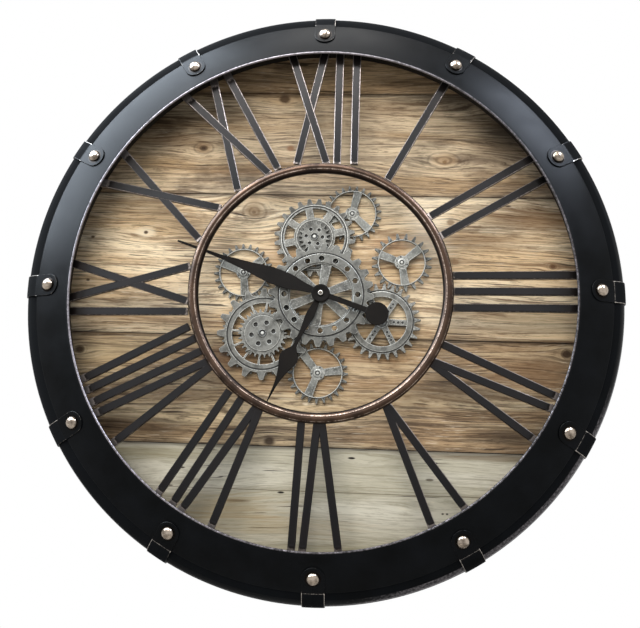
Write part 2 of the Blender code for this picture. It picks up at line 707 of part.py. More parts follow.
def board_tab(angle):
    """Tab bent in from the case's side behind the boards."""
    outer = CASE_INSIDE + CASE_SHEET / 2
    inner = CASE_INSIDE - TAB_LENGTH
    half = TAB_WIDTH / 2
    top = BACK_ROOM - TOUCH_GAP
    tab = plate([[(inner, -half), (outer, -half), (outer, half), (inner, half)]], top - TAB_SHEET, top)
    tab.rotation_euler.z = angle
    return tab


def strap():
    """Bent strap with a round inner end, and its rivet, drawn along the x axis."""
    inner_radius = RIVET_CIRCLE - STRAP_WIDTH
    bottom = shoulder_centre()[1] - STRAP_SIDE
    under = case_skin(TOUCH_GAP, inner_radius, bottom)
    over = case_skin(TOUCH_GAP + STRAP_SHEET, inner_radius, bottom)
    section = plate([under + over[::-1]], -STRAP_WIDTH, STRAP_WIDTH)
    section.rotation_euler.x = math.pi / 2
    half = STRAP_WIDTH / 2
    beyond = CASE_RADIUS + STRAP_WIDTH
    outline = [(beyond, half)] + arc(half, math.pi / 2, 3 * math.pi / 2, ARC_STEPS * 2, (RIVET_CIRCLE, 0.0))
    blank = plate([outline + [(beyond, -half)]], 0.0, CASE_DEPTH * 2)
    band = boolean("INTERSECT", section, [blank])
    dome = arc(RIVET_RADIUS, math.pi / 2, 0.0, DOME_STEPS)
    profile = [(radius, height * RIVET_HEIGHT / RIVET_RADIUS) for radius, height in dome]
    profile[0] = (0.0, RIVET_HEIGHT)
    rivet = turned(profile + [(RIVET_RADIUS, -STRAP_SHEET / 2), (0.0, -STRAP_SHEET / 2)], RIVET_STEPS, False)
    seat = face_height(RIVET_CIRCLE) + (TOUCH_GAP + STRAP_SHEET) / math.cos(FACE_TILT)
    rivet.rotation_euler.y = FACE_TILT
    rivet.location = (RIVET_CIRCLE, 0.0, seat)
    return weld(band, rivet)


# Ring and numerals


def inner_ring():
    """Round bar bent into a ring."""
    profile = arc(RING_BAR, FULL_TURN, 0.0, RING_SIDES, (RING_RADIUS, NUMERAL_Z))[:-1]
    return turned(profile, RING_STEPS, True)


def stroke(outer_offset, inner_offset):
    """Flat bar of a numeral, drawn for twelve o'clock. Its ends follow the case's flange and the ring."""
    outer_radius = OPENING_RADIUS * FACET - TOUCH_GAP
    inner_radius = RING_RADIUS + RING_BAR + TOUCH_GAP
    direction = unit((inner_offset, inner_radius), (outer_offset, outer_radius))
    corners = []
    for side, radius in ((-1, inner_radius), (1, inner_radius), (1, outer_radius), (-1, outer_radius)):
        shift = side * BAR_WIDTH / 2
        x = inner_offset + shift * direction[1]
        y = inner_radius - shift * direction[0]
        along = x * direction[0] + y * direction[1]
        reach = math.sqrt(along ** 2 - x ** 2 - y ** 2 + radius ** 2) - along
        corners.append((x + reach * direction[0], y + reach * direction[1]))
    return corners


def numeral_piece(strokes):
    """Strokes of one welded piece."""
    half = BAR_THICKNESS / 2
    bars = []
    for outer, inner in strokes:
        bars.append(plate([stroke(outer * BAR_WIDTH, inner * BAR_WIDTH)], NUMERAL_Z - half, NUMERAL_Z + half))
    return weld(*bars) if len(bars) > 1 else bars[0]


# Boards


def board(lower, upper):
    """Board between two seams, with its round ends."""
    low = math.asin(lower / BOARD_RADIUS)
    high = math.asin(upper / BOARD_RADIUS)
    steps = math.ceil(abs(high - low) / FULL_TURN * CASE_STEPS)
    outline = arc(BOARD_RADIUS, low, high, steps) + arc(BOARD_RADIUS, math.pi - high, math.pi - low, steps)
    if upper == BOARD_RADIUS or lower == -BOARD_RADIUS:
        outline = drop_repeats(outline)
    item = plate([outline], BACK_ROOM, BOARD_FRONT)
    item.rotation_euler.z = BOARD_TILT
    return item


def drop_repeats(loop):
    """Loop without points that lie on the one before."""
    kept = []
    for index, point in enumerate(loop):
        if math.dist(point, loop[index - 1]) > WELD_DISTANCE:
            kept.append(point)
    return kept


# Movement, hands, motor box and hanger


def movement():
    """Square clock movement with its bush, nut and collar, bored through for the hands, and a recess at the back."""
    half = MOVEMENT_SIDE / 2
    top = BACK_ROOM - TOUCH_GAP
    back = top - MOVEMENT_DEPTH
    square = [(-half, -half), (half, -half), (half, half), (-half, half)]
    case = plate([rounded(square, MOVEMENT_CORNER)], back, top)
    bush = cylinders(BUSH_RADIUS, top - SINK, BUSH_TOP, HUB_STEPS)
    nut = cylinders(BUSH_NUT, HUB_SEAT, HUB_SEAT + BUSH_NUT_HEIGHT, 6)
    collar = cylinders(COLLAR_RADIUS, COLLAR_Z, BUSH_TOP - COLLAR_HEIGHT / 4, HUB_STEPS)
    body = weld(case, bush, nut, collar)
    recess = cylinders(KNOB_RADIUS + KNOB_CLEARANCE, back - SINK, back + KNOB_RECESS, HUB_STEPS)
    return cut(body, recess, bore(HOUR_PIPE, RUNNING_FIT, back - SINK, BUSH_TOP + SINK))


def setting_knob():
    """Knurled knob in the recess at the movement's back, with a stem in its bore."""
    back = BACK_ROOM - TOUCH_GAP - MOVEMENT_DEPTH
    top = back + KNOB_RECESS - TOUCH_GAP
    grip = FULL_TURN / KNOB_GRIPS / 8
    inner = KNOB_RADIUS - KNOB_GRIP_DEPTH
    rim = toothed_loop(KNOB_GRIPS, 0.0, inner, grip * 3, KNOB_RADIUS, grip * 2)
    knob = plate([rim], top - KNOB_HEIGHT, top)
    stem = cylinders(HOUR_PIPE, top - SINK, top + KNOB_STEM)
    return weld(knob, stem)


def blade(shape, length, half_width):
    """Outline of a hand's blade along the y axis, from its half widths."""
    right = [(half_width * width, length * along) for along, width in shape]
    left = [(-x, y) for x, y in reversed(right)]
    return right + left


def pipe_end():
    """Height of the inner end of the hands' arbors in the movement's bore."""
    return BACK_ROOM - TOUCH_GAP - MOVEMENT_DEPTH + KNOB_RECESS + KNOB_STEM + TOUCH_GAP


def hour_hand():
    """Hour hand with its boss and pipe. It points to twelve before it is placed."""
    lift = HOUR_Z + (HOUR_BOSS_HEIGHT - HAND_SHEET) / 2
    leaf = plate([blade(HOUR_SHAPE, HOUR_LENGTH, HOUR_BLADE)], lift, lift + HAND_SHEET)
    boss = cylinders(HOUR_BOSS, HOUR_Z, HOUR_Z + HOUR_BOSS_HEIGHT, HUB_STEPS)
    pipe = cylinders(HOUR_PIPE, pipe_end(), HOUR_Z + SINK)
    body = weld(boss, leaf, pipe)
    return cut(body, bore(MINUTE_ARBOR, RUNNING_FIT, pipe_end() - SINK, MINUTE_Z))


def minute_hand():
    """Minute hand with its boss, tail, counterweight and arbor. It points to twelve before it is placed."""
    lift = MINUTE_Z + (MINUTE_BOSS_HEIGHT - HAND_SHEET) / 2
    leaf = plate([blade(MINUTE_SHAPE, MINUTE_LENGTH, MINUTE_BLADE)], lift, lift + HAND_SHEET)
    half = TAIL_ROD / 2
    start = -MINUTE_BOSS / 2
    rod = plate([[(-half, -TAIL_LENGTH), (half, -TAIL_LENGTH), (half, start), (-half, start)]],
                lift, lift + HAND_SHEET)
    weight = cylinders(COUNTERWEIGHT, lift - SINK, lift + HAND_SHEET + SINK, HUB_STEPS, [(0.0, -TAIL_LENGTH)])
    boss = cylinders(MINUTE_BOSS, MINUTE_Z, MINUTE_TOP, HUB_STEPS)
    arbor = cylinders(MINUTE_ARBOR, pipe_end(), MINUTE_Z + SINK)
    thread = cylinders(MINUTE_THREAD, MINUTE_TOP - SINK, HAND_NUT_Z + HAND_NUT_HEIGHT)
    return weld(boss, leaf, rod, weight, arbor, thread)


def hand_nut():
    """Round nut that holds the hands on the minute arbor."""
    top = HAND_NUT_Z + HAND_NUT_HEIGHT
    nut = cylinders(HAND_NUT_RADIUS, HAND_NUT_Z, top)
    return cut(nut, bore(MINUTE_THREAD, TOUCH_GAP, HAND_NUT_Z - SINK, top + SINK))


def motor_box(arbors):
    """Motor box behind the boards, under the movement, with a socket for each driven arbor."""
    top = BACK_ROOM - TOUCH_GAP
    upper = -MOVEMENT_SIDE / 2 - BOX_TOP_GAP
    lower = upper - BOX_HEIGHT
    ear = BOX_RIGHT - BOX_EAR_WIDTH
    corners = [(BOX_LEFT, lower), (BOX_RIGHT, lower), (BOX_RIGHT, upper + BOX_EAR_RISE),
               (ear, upper + BOX_EAR_RISE), (ear, upper), (BOX_LEFT, upper)]
    box = plate([rounded(corners, BOX_CORNER)], top - BOX_DEPTH, top)
    sockets = bore(ARBOR_RADIUS, RUNNING_FIT, top - SOCKET_DEPTH, top + SINK, centres=arbors)
    return cut(box, sockets)


def hanger_plate():
    """Sheet bent to a hat, its feet on the boards and its face by the wall, with a keyhole."""
    half = HANGER_WIDTH / 2
    foot = half + HANGER_FOOT
    seat = BACK_ROOM - TOUCH_GAP
    under = seat - HANGER_SHEET
    face = HANGER_STANDOFF + HANGER_SHEET
    inner = half - HANGER_SHEET
    outline = [(-foot, seat), (-foot, under), (-half, under), (-half, HANGER_STANDOFF), (half, HANGER_STANDOFF),
               (half, under), (foot, under), (foot, seat), (inner, seat), (inner, face), (-inner, face),
               (-inner, seat)]
    hat = plate([outline], -HANG_HEIGHT - HANGER_ABOVE, -HANG_HEIGHT + HANGER_BELOW)
    hat.rotation_euler.x = math.pi / 2
    slot_top = HANG_HEIGHT - SLOT_RADIUS
    hole = HANG_HEIGHT - SLOT_LENGTH - KEYHOLE_RADIUS
    meet = math.acos(SLOT_RADIUS / KEYHOLE_RADIUS)
    round_hole = arc(KEYHOLE_RADIUS, math.pi - meet, FULL_TURN + meet, ARBOR_STEPS, (0.0, hole))
    keyhole = round_hole + arc(SLOT_RADIUS, 0.0, math.pi, ARC_STEPS * 2, (0.0, slot_top))
    return cut(hat, plate([keyhole], 0.0, face + SINK))


# Finishes and placing


def finish(name, colour, roughness, metallic):
    """Plain surface of one colour, given in linear red, green and blue."""
    material = bpy.data.materials.new(name)
    material.use_nodes = True
    shader = material.node_tree.nodes["Principled BSDF"]
    shader.inputs["Base Color"].default_value = (*colour, 1.0)
    shader.inputs["Roughness"].default_value = roughness
    shader.inputs["Metallic"].default_value = metallic
    return material


def place(shape, name, material, frame, centre=(0.0, 0.0), turn=0.0):
    """Name a finished shape, give it its material and stand it in the dial's frame."""
    shape.name = name
    shape.data.name = name
    shape.data.materials.clear()
    shape.data.materials.append(material)
    shape.data.shade_smooth()
    shape.data.set_sharp_from_angle(angle=SHARP_ANGLE)
    shape.parent = frame
    shape.location = (*centre, 0.0)
    shape.rotation_euler = (0.0, 0.0, turn)
    return shape


def beside(centre, distance, direction):
    """Point at a distance and a direction from another."""
    x, y = polar(distance, direction)
    return centre[0] + x, centre[1] + y


def add_case(frame):
    """Case and its twelve straps."""
    black = finish("black_paint", (0.012, 0.013, 0.015), 0.38, 0.3)
    place(bezel(), "bezel", black, frame)
    dark = finish("worn_black_steel", (0.02, 0.018, 0.017), 0.42, 0.6)
    shape = strap()
    place(shape, "strap_12", dark, frame, turn=math.pi / 2)
    for hour in range(1, 12):
        copy = add_object("strap", shape.data)
        copy.parent = frame
        copy.name = f"strap_{hour:02d}"
        copy.rotation_euler.z = math.pi / 2 - FULL_TURN * hour / 12


def add_numerals(frame):
    """Inner ring and the numerals round it."""
    bronze = finish("dark_bronze", (0.06, 0.04, 0.034), 0.35, 0.9)
    place(inner_ring(), "inner_ring", bronze, frame)
    steel = finish("blackened_steel", (0.016, 0.014, 0.014), 0.45, 0.7)
    for hour, pieces in NUMERALS.items():
        for index, strokes in enumerate(pieces):
            name = f"numeral_{hour:02d}_{chr(ord('a') + index)}"
            place(numeral_piece(strokes), name, steel, frame, turn=-FULL_TURN * hour / 12)


def add_boards(frame, arbors):
    """Five boards, bored for the arbors and the bush."""
    edges = (BOARD_RADIUS,) + SEAMS + (-BOARD_RADIUS,)
    tones = ((0.16, 0.08, 0.04), (0.30, 0.18, 0.10), (0.44, 0.30, 0.17), (0.30, 0.19, 0.11), (0.36, 0.32, 0.22))
    for index, tone in enumerate(tones):
        upper = edges[index] if index == 0 else edges[index] - BOARD_GAP / 2
        lower = edges[index + 1] if index == len(tones) - 1 else edges[index + 1] + BOARD_GAP / 2
        bores = bore(ARBOR_RADIUS, RUNNING_FIT, 0.0, BOARD_FRONT * 2, centres=arbors)
        bush = bore(BUSH_RADIUS, TOUCH_GAP, 0.0, BOARD_FRONT * 2, HUB_STEPS)
        material = finish(f"wood_{index + 1}", tone, 0.7, 0.0)
        place(cut(bake(board(lower, upper)), bores, bush), f"board_{index + 1}", material, frame)


def add_gears(frame):
    """Gear train. Returns the axes of the arbors that run in the boards, and of the two that the box turns."""
    pewter = finish("pewter", (0.22, 0.23, 0.22), 0.5, 0.7)
    centre = (0.0, 0.0)
    left = beside(centre, mesh_distance(FINE_MODULE, CENTRE_TEETH, LEFT_PINION_TEETH), LEFT_DIRECTION)
    upper = beside(centre, mesh_distance(FINE_MODULE, CENTRE_TEETH, UPPER_PINION_TEETH), UPPER_DIRECTION)
    right = beside(centre, RIGHT_DISTANCE, RIGHT_DIRECTION)
    left_turn = mesh_turn(LEFT_DIRECTION, 0.0, CENTRE_TEETH, LEFT_PINION_TEETH)
    upper_turn = mesh_turn(UPPER_DIRECTION, 0.0, CENTRE_TEETH, UPPER_PINION_TEETH)
    place(centre_gear(), "centre_gear", pewter, frame)
    place(left_gear(left_turn), "left_gear", pewter, frame, left)
    place(upper_gear(upper_turn), "upper_gear", pewter, frame, upper)
    place(right_gear(), "right_gear", pewter, frame, right)

    rear_top = WHEEL_Z - SMALL_CLEARANCE
    rear_bottom = rear_top - SMALL_THICKNESS
    from_ring = mesh_distance(REAR_MODULE, LEFT_RING_TEETH, SMALL_TEETH)
    axes = [left, right, upper]
    rear_wheels = (
        ("top_small_gear", upper, mesh_distance(REAR_MODULE, UPPER_REAR_TEETH, SMALL_TEETH), TOP_SMALL_DIRECTION,
         UPPER_REAR_TEETH, TOP_SMALL_TURN),
        ("left_small_gear", left, from_ring, LEFT_SMALL_DIRECTION, LEFT_RING_TEETH, LEFT_SMALL_TURN),
        ("low_small_gear", left, from_ring, LOW_SMALL_DIRECTION, LEFT_RING_TEETH, LOW_SMALL_TURN),
    )
    for name, partner, distance, direction, partner_teeth, spoke_turn in rear_wheels:
        axis = beside(partner, distance, direction)
        turn = mesh_turn(direction, 0.0, partner_teeth, SMALL_TEETH)
        wheel = small_wheel(REAR_MODULE, SMALL_TEETH, turn, spoke_turn, rear_bottom, rear_top)
        place(wheel, name, pewter, frame, axis)
        axes.append(axis)

    axis = beside(right, mesh_distance(RIGHT_MODULE, RIGHT_TEETH, RIGHT_SMALL_TEETH), RIGHT_SMALL_DIRECTION)
    turn = mesh_turn(RIGHT_SMALL_DIRECTION, RIGHT_TURN, RIGHT_TEETH, RIGHT_SMALL_TEETH)
    wheel = small_wheel(RIGHT_MODULE, RIGHT_SMALL_TEETH, turn, RIGHT_SMALL_TURN, WHEEL_Z, WHEEL_TOP)
    place(wheel, "right_small_gear", pewter, frame, axis)
    axes.append(axis)
    return axes, [left, right]


def add_works(frame, driven):
    """Movement, knob, hands, motor box and hanger."""
    plastic = finish("black_plastic", (0.02, 0.02, 0.021), 0.5, 0.0)
    place(movement(), "movement", plastic, frame)
    place(setting_knob(), "setting_knob", finish("grey_plastic", (0.2, 0.2, 0.2), 0.5, 0.0), frame)
    place(motor_box(driven), "gear_motor_box", plastic, frame)
    place(hanger_plate(), "hanger_plate", finish("zinc_plate", (0.5, 0.5, 0.48), 0.4, 1.0), frame)
    black = finish("black_hand", (0.01, 0.009, 0.008), 0.5, 0.2)
    place(hour_hand(), "hour_hand", black, frame, turn=-HOUR_CLOCK_ANGLE)
    place(minute_hand(), "minute_hand", black, frame, turn=-MINUTE_CLOCK_ANGLE)
    bright = finish("bright_steel", (0.6, 0.58, 0.55), 0.25, 1.0)
    place(hand_nut(), "hand_nut", bright, frame)


clear_scene()
PARTS = new_collection("gear_wall_clock")
dial_frame = add_object("dial_frame", None)
dial_frame.location = (0.0, 0.0, -HANG_HEIGHT)
dial_frame.rotation_euler.x = math.pi / 2
add_case(dial_frame)
add_numerals(dial_frame)
board_axes, driven_axes = add_gears(dial_frame)
add_boards(dial_frame, board_axes)
add_works(dial_frame, driven_axes)
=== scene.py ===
import math

import bmesh
import bpy
import numpy as np
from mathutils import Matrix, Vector


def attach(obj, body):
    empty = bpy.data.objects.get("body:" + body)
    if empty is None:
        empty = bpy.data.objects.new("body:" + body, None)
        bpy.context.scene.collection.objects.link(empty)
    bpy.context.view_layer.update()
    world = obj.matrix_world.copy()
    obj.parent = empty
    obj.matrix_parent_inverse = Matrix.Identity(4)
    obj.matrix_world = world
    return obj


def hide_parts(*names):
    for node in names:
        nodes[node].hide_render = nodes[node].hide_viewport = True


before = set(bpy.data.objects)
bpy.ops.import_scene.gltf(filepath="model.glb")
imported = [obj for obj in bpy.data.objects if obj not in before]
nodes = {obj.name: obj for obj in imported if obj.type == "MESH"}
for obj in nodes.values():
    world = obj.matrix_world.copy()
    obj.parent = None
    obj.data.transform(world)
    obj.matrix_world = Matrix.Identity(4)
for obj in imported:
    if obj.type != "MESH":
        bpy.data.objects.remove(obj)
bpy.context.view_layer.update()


# The room: a white surround and a pale floor well below the clock, with one wide soft lamp in front and a
# little above. Four windows, high on the left, in front, on the right and above, show as reflections in
# enamel and metal. The camera stands a little to the right of the clock and below its middle.

CAMERA_PLACE = (0.035526, -0.734598, -0.378341)
CAMERA_TURN = (100.271820, -1.239583, 2.747933)      # degrees
CAMERA_LENS = 38.7833
FLOOR_HEIGHT = -1.9
FLOOR_REACH = 2.5


def linear(code):
    """Linear red, green, blue and alpha of an sRGB hex colour."""
    share = np.array([int(code[start:start + 2], 16) for start in (1, 3, 5)]) / 255
    return (*np.where(share <= 0.04045, share / 12.92, ((share + 0.055) / 1.055) ** 2.4).tolist(), 1.0)


def feed(tree, node, inputs):
    """Fills a node's sockets, each by name or number, with another node's output, a hex colour or a value."""
    for socket, value in inputs.items():
        if isinstance(value, bpy.types.NodeSocket):
            tree.links.new(value, node.inputs[socket])
        else:
            node.inputs[socket].default_value = linear(value) if isinstance(value, str) else value


def add(tree, kind, inputs=None, out=None, **settings):
    """Adds a node with its settings and inputs, and gives back its output of that name, or the first in use.
    Inputs 0, 6 and 7 of a colour mix are its factor and its two colours."""
    node = tree.nodes.new("ShaderNode" + kind)
    for name, value in settings.items():
        setattr(node, name, value)
    feed(tree, node, inputs or {})
    return node.outputs[out] if out else next((socket for socket in node.outputs if socket.enabled), None)


def blank(name):
    """New material, with its node tree, its shader and its Object coordinates."""
    material = bpy.data.materials.new(name)
    material.use_nodes = True
    tree = material.node_tree
    return material, tree, tree.nodes["Principled BSDF"], add(tree, "TexCoord", out="Object")


world = bpy.data.worlds.new("white_surround")
world.use_nodes = True
tree = world.node_tree
tree.nodes.clear()
rays = [add(tree, "LightPath", out=f"Is {ray} Ray") for ray in ("Camera", "Glossy", "Transmission")]
seen = add(tree, "Math", {0: rays[0], 1: rays[1]}, operation="ADD")
seen = add(tree, "Math", {0: seen, 1: rays[2]}, operation="ADD", use_clamp=True)
air = add(tree, "Background", {"Color": "#f1f3f5", "Strength": 0.70})
white = add(tree, "Background", {"Color": "#ffffff", "Strength": 1.0})
both = add(tree, "MixShader", {0: seen, 1: air, 2: white})
add(tree, "OutputWorld", {0: both})
bpy.context.scene.world = world
bpy.context.scene.view_settings.view_transform = "Standard"

for name, place, size, power, tint, soft in (
    ("wide_lamp", (-0.25, -1.85, 0.50), (1.3, 1.3), 31.0, "#fff8ee", True),
    ("left_window", (-0.97, -0.40, 0.69), (1.00, 1.28), 118.0, "#d3dfec", False),
    ("front_window", (-0.26, -1.05, 0.80), (1.05, 0.62), 29.0, "#f4f2f2", False),
    ("right_window", (0.86, -0.55, 0.72), (0.45, 0.45), 25.0, "#dbe6f8", False),
    ("top_window", (-0.02, -0.42, 1.00), (0.50, 0.40), 8.0, "#f2f2f2", False),
):
    lamp = bpy.data.objects.new(name, bpy.data.lights.new(name, "AREA"))
    lamp.data.shape = "RECTANGLE"
    lamp.data.size, lamp.data.size_y = size
    lamp.data.energy = power
    lamp.data.color = linear(tint)[:3]
    lamp.location = place
    lamp.rotation_euler = (Vector((0.0, 0.0, -0.2)) - Vector(place)).to_track_quat("-Z", "Y").to_euler()
    lamp.visible_diffuse = soft
    lamp.visible_glossy = not soft
    bpy.context.scene.collection.objects.link(lamp)

camera = bpy.data.objects.new("camera", bpy.data.cameras.new("camera"))
camera.data.lens = CAMERA_LENS
camera.data.clip_start = 0.01
camera.location = CAMERA_PLACE
camera.rotation_euler = [math.radians(angle) for angle in CAMERA_TURN]
bpy.context.scene.collection.objects.link(camera)
bpy.context.scene.camera = camera

across, along = np.meshgrid(np.linspace(-FLOOR_REACH, FLOOR_REACH, 9),
                            np.linspace(-FLOOR_REACH, FLOOR_REACH, 9))
floor_mesh = bpy.data.meshes.new("floor")
spots = np.stack([across, along, np.full(across.shape, FLOOR_HEIGHT)], axis=-1).reshape(-1, 3)
index = np.arange(81).reshape(9, 9)
tiles = np.stack([index[:-1, :-1], index[:-1, 1:], index[1:, 1:], index[1:, :-1]], axis=-1).reshape(-1, 4)
floor_mesh.from_pydata(spots.tolist(), [], tiles.tolist())
floor = bpy.data.objects.new("floor", floor_mesh)
bpy.context.scene.collection.objects.link(floor)
floor_paint, tree, shader, place = blank("pale_floor")
feed(tree, shader, {"Base Color": "#efede9", "Roughness": 0.8})
floor_mesh.materials.append(floor_paint)


# The case: a drum spun from sheet steel, with a conical face, a rounded shoulder and a wire-rolled lip round
# the opening. Its satin black enamel is rubbed through to bright steel on the lip, and the sheet's edge is
# folded into a hem on the wall. Bent tabs inside hold the boards.

DIAL_HEIGHT = -232.0      # middle of the dial over the origin; all sizes of pieces are in millimetres
CASE_RADIUS = 300.0
OPENING = 254.0
FACE_HEIGHT = 78.5        # over the wall, at the opening
FACE_TILT = math.radians(18.4)
CROWN = 0.9               # how far the face bulges between the lip and the shoulder
SHOULDER = 14.0
SHEET = 1.5
LIP_RADIUS = 249.0
LIP_BEAD = 1.25
FLANGE_FOOT = 60.0
HEM = 4.0
HEM_RISE = 6.0
LEDGE = 26.3
LEDGE_WIDTH = 6.5
TAB_HEIGHT = 17.2
TAB_REACH = (287.0, 298.8)
TAB_WIDTH = 12.0
TAB_SHEET = 1.2
TAB_ANGLES = (63.1, 35.5, 6.8, -19.5, -49.8)      # of the right ends of the five boards


def surface(name, patches, sharp=35.0):
    """One mesh from patches. A patch is a grid of points (rows, columns, x and y on the dial and height over
    the wall), the rub of each point, and whether its rows and its columns close into loops. Rub runs from 1,
    where the finish is worn bright, to -1, where dirt lies; on the case, the straps, the numerals and the
    ring some of its highs are painted highlight, and on the ring and the rivets some of its lows are painted
    shade."""
    places, rubs, quads, first = [], [], [], 0
    for points, rub, rows_close, columns_close in patches:
        rows, columns = points.shape[:2]
        index = first + np.arange(rows * columns).reshape(rows, columns)
        first += rows * columns
        if rows_close:
            index = np.vstack([index, index[:1]])
        if columns_close:
            index = np.hstack([index, index[:, :1]])
        corners = (index[:-1, :-1], index[:-1, 1:], index[1:, 1:], index[1:, :-1])
        quads.append(np.stack(corners, axis=-1).reshape(-1, 4))
        places.append(points.reshape(-1, 3))
        rubs.append(np.broadcast_to(rub, (rows, columns)).ravel())
    x, y, height = np.concatenate(places).T / 1000
    mesh = bpy.data.meshes.new(name)
    mesh.from_pydata(np.stack([x, -height, y + DIAL_HEIGHT / 1000], axis=-1).tolist(), [],
                     np.concatenate(quads).tolist())
    mesh.attributes.new("rub", "FLOAT", "POINT").data.foreach_set("value",
                                                                  np.concatenate(rubs).astype(np.float32))
    shape = bmesh.new()
    shape.from_mesh(mesh)
    bmesh.ops.remove_doubles(shape, verts=shape.verts, dist=0.000002)
    bmesh.ops.recalc_face_normals(shape, faces=shape.faces)
    shape.to_mesh(mesh)
    shape.free()
    mesh.shade_smooth()
    mesh.set_sharp_from_angle(angle=math.radians(sharp))
    piece = bpy.data.objects.new(name, mesh)
    bpy.context.scene.collection.objects.link(piece)
    return piece


def fit(piece, material, body, slot, *replaced):
    """Gives a piece its material and body, and hides the CAD nodes that it stands for. The slot is not used.
    """
    piece.data.materials.append(material)
    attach(piece, body)
    if replaced:
        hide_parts(*replaced)
    return piece


def turned(profile, steps, centre=(0.0, 0.0), closed=False, level=0.0):
    """Profile of radius, height over the level and rub turned round an upright axis: x = cx + r cos t and
    y = cy + r sin t."""
    radius, height, rub = np.array(profile, float).T[:, :, None]
    turn = np.linspace(0, 2 * math.pi, steps, endpoint=False)
    x, y = centre[0] + radius * np.cos(turn), centre[1] + radius * np.sin(turn)
    points = np.stack(np.broadcast_arrays(x, y, level + height), axis=-1)
    return points, np.broadcast_to(rub, points.shape[:2]), closed, True


def bend(middle, radius, start, end, steps, rub=0.0):
    """Profile points of an arc round a middle, from one angle to another in degrees."""
    angle = np.radians(np.linspace(start, end, steps))
    return np.stack([middle[0] + radius * np.cos(angle), middle[1] + radius * np.sin(angle),
                     np.full(steps, rub)], axis=-1)


def face_height(radius):
    """Height of the face over the wall at a radius: a cone, crowned by a parabola."""
    crown = CROWN * max(0.0, 1 - ((radius - 268) / 17.5) ** 2)
    return FACE_HEIGHT - (radius - OPENING) * math.tan(FACE_TILT) + crown


def bar(start, end, width, bottom, top, chamfer=0.3, rub=(1.0, 1.0), end_rub=(0.0, 0.0),
        end_length=(0.5, 0.5)):
    """Bar with a bevelled section carried along a straight line. Its width runs from the first of a pair to
    the second, its right and its left edge have a rub each, and each end, with a rub of its own, closes to a
    point inside what it is welded to."""
    start, end = np.array(start, float), np.array(end, float)
    length = np.linalg.norm(end - start)
    along = (end - start) / length
    side = np.array([-along[1], along[0]])
    inset = min(chamfer + 0.9, min(width) * 0.4)
    near, far = end_length[0] / length, end_length[1] / length
    share = np.array([0.0, 0.0, near, near * 1.6 + 0.001, 1 - far * 1.6 - 0.001, 1 - far, 1.0, 1.0])
    half = (width[0] + (width[1] - width[0]) * share)[:, None] / 2
    half = half * np.array([0.0, 1, 1, 1, 1, 1, 1, 0.0])[:, None]
    sign = np.array([-1.0, -1, -1, -1, 1, 1, 1, 1])
    narrowed = np.maximum(half - np.array([0, 0, chamfer, inset, inset, chamfer, 0, 0]), 0.0)
    flat = start + along * (share * length)[:, None, None] + side * (sign * narrowed)[:, :, None]
    lift = np.broadcast_to([bottom, top - chamfer, top, top, top, top, top - chamfer, bottom], flat.shape[:2])
    right, left = rub
    edge = np.array([0, right, right, right * 0.3, left * 0.3, left, left, 0.0])
    edge = np.broadcast_to(edge, flat.shape[:2]).copy()
    edge[1:3] = np.maximum(edge[1:3], end_rub[0])
    edge[5:7] = np.maximum(edge[5:7], end_rub[1])
    return np.concatenate([flat, lift[:, :, None]], axis=-1), edge, False, True


# Satin enamel over steel: near black with a soft sheen, faint cloudy marks, and bright steel where worn and
# where a highlight is painted.
def enamel(name, paint, cloud, steel, roughness, sheen, chips=0.3):
    """Enamel. The rub attribute, broken up by chips of 2 mm, bares the steel, as wear and as painted
    highlight; below zero it is soot.
    """
    material, tree, shader, place = blank(name)
    worn = add(tree, "Attribute", out="Fac", attribute_name="rub")
    mist = add(tree, "TexNoise", {"Vector": place, "Scale": 28.0, "Detail": 5.0, "Roughness": 0.6})
    grit = add(tree, "TexNoise", {"Vector": place, "Scale": 480.0, "Detail": 4.0, "Roughness": 0.65})
    chip = add(tree, "MapRange", {"Value": grit, "From Min": 0.3, "From Max": 0.7, "To Min": -chips,
                                  "To Max": chips})
    bare_and_highlight = add(tree, "Math", {0: worn, 1: chip}, operation="ADD")
    bare_and_highlight = add(tree, "MapRange", {"Value": bare_and_highlight, "From Min": 0.42, "From Max": 0.95},
               interpolation_type="SMOOTHSTEP")
    tone = add(tree, "MapRange", {"Value": mist, "From Min": 0.35, "From Max": 0.7})
    colour = add(tree, "Mix", {0: tone, 6: paint, 7: cloud}, data_type="RGBA")
    colour = add(tree, "Mix", {0: bare_and_highlight, 6: colour, 7: steel}, data_type="RGBA")
    rough = add(tree, "MapRange", {"Value": mist, "From Min": 0.3, "From Max": 0.7,
                                   "To Min": roughness - 0.05, "To Max": roughness + 0.07})
    bump = add(tree, "Bump", {"Height": grit, "Strength": 0.12, "Distance": 0.0003})
    below_zero = add(tree, "MapRange", {"Value": worn, "From Min": 0.0, "From Max": -1.0})
    rough = add(tree, "Math", {0: below_zero, 1: 0.66, 2: rough}, operation="MULTIPLY_ADD")
    feed(tree, shader, {"Base Color": colour, "Metallic": bare_and_highlight, "Roughness": rough, "Normal": bump,
                        "Specular IOR Level": sheen})
    return material


slope = math.degrees(FACE_TILT)
shoulder_radius = CASE_RADIUS - SHOULDER
shoulder_height = (face_height(shoulder_radius + SHOULDER * math.sin(FACE_TILT))
                   - SHOULDER * math.cos(FACE_TILT))
shoulder_middle = (shoulder_radius, shoulder_height)
lip_middle = (LIP_RADIUS, face_height(LIP_RADIUS) - LIP_BEAD / math.cos(FACE_TILT) - 0.04)
lip = bend(lip_middle, LIP_BEAD, -90, -270 - slope, 12, 0.8)
lip[:3, 2] = 0.1
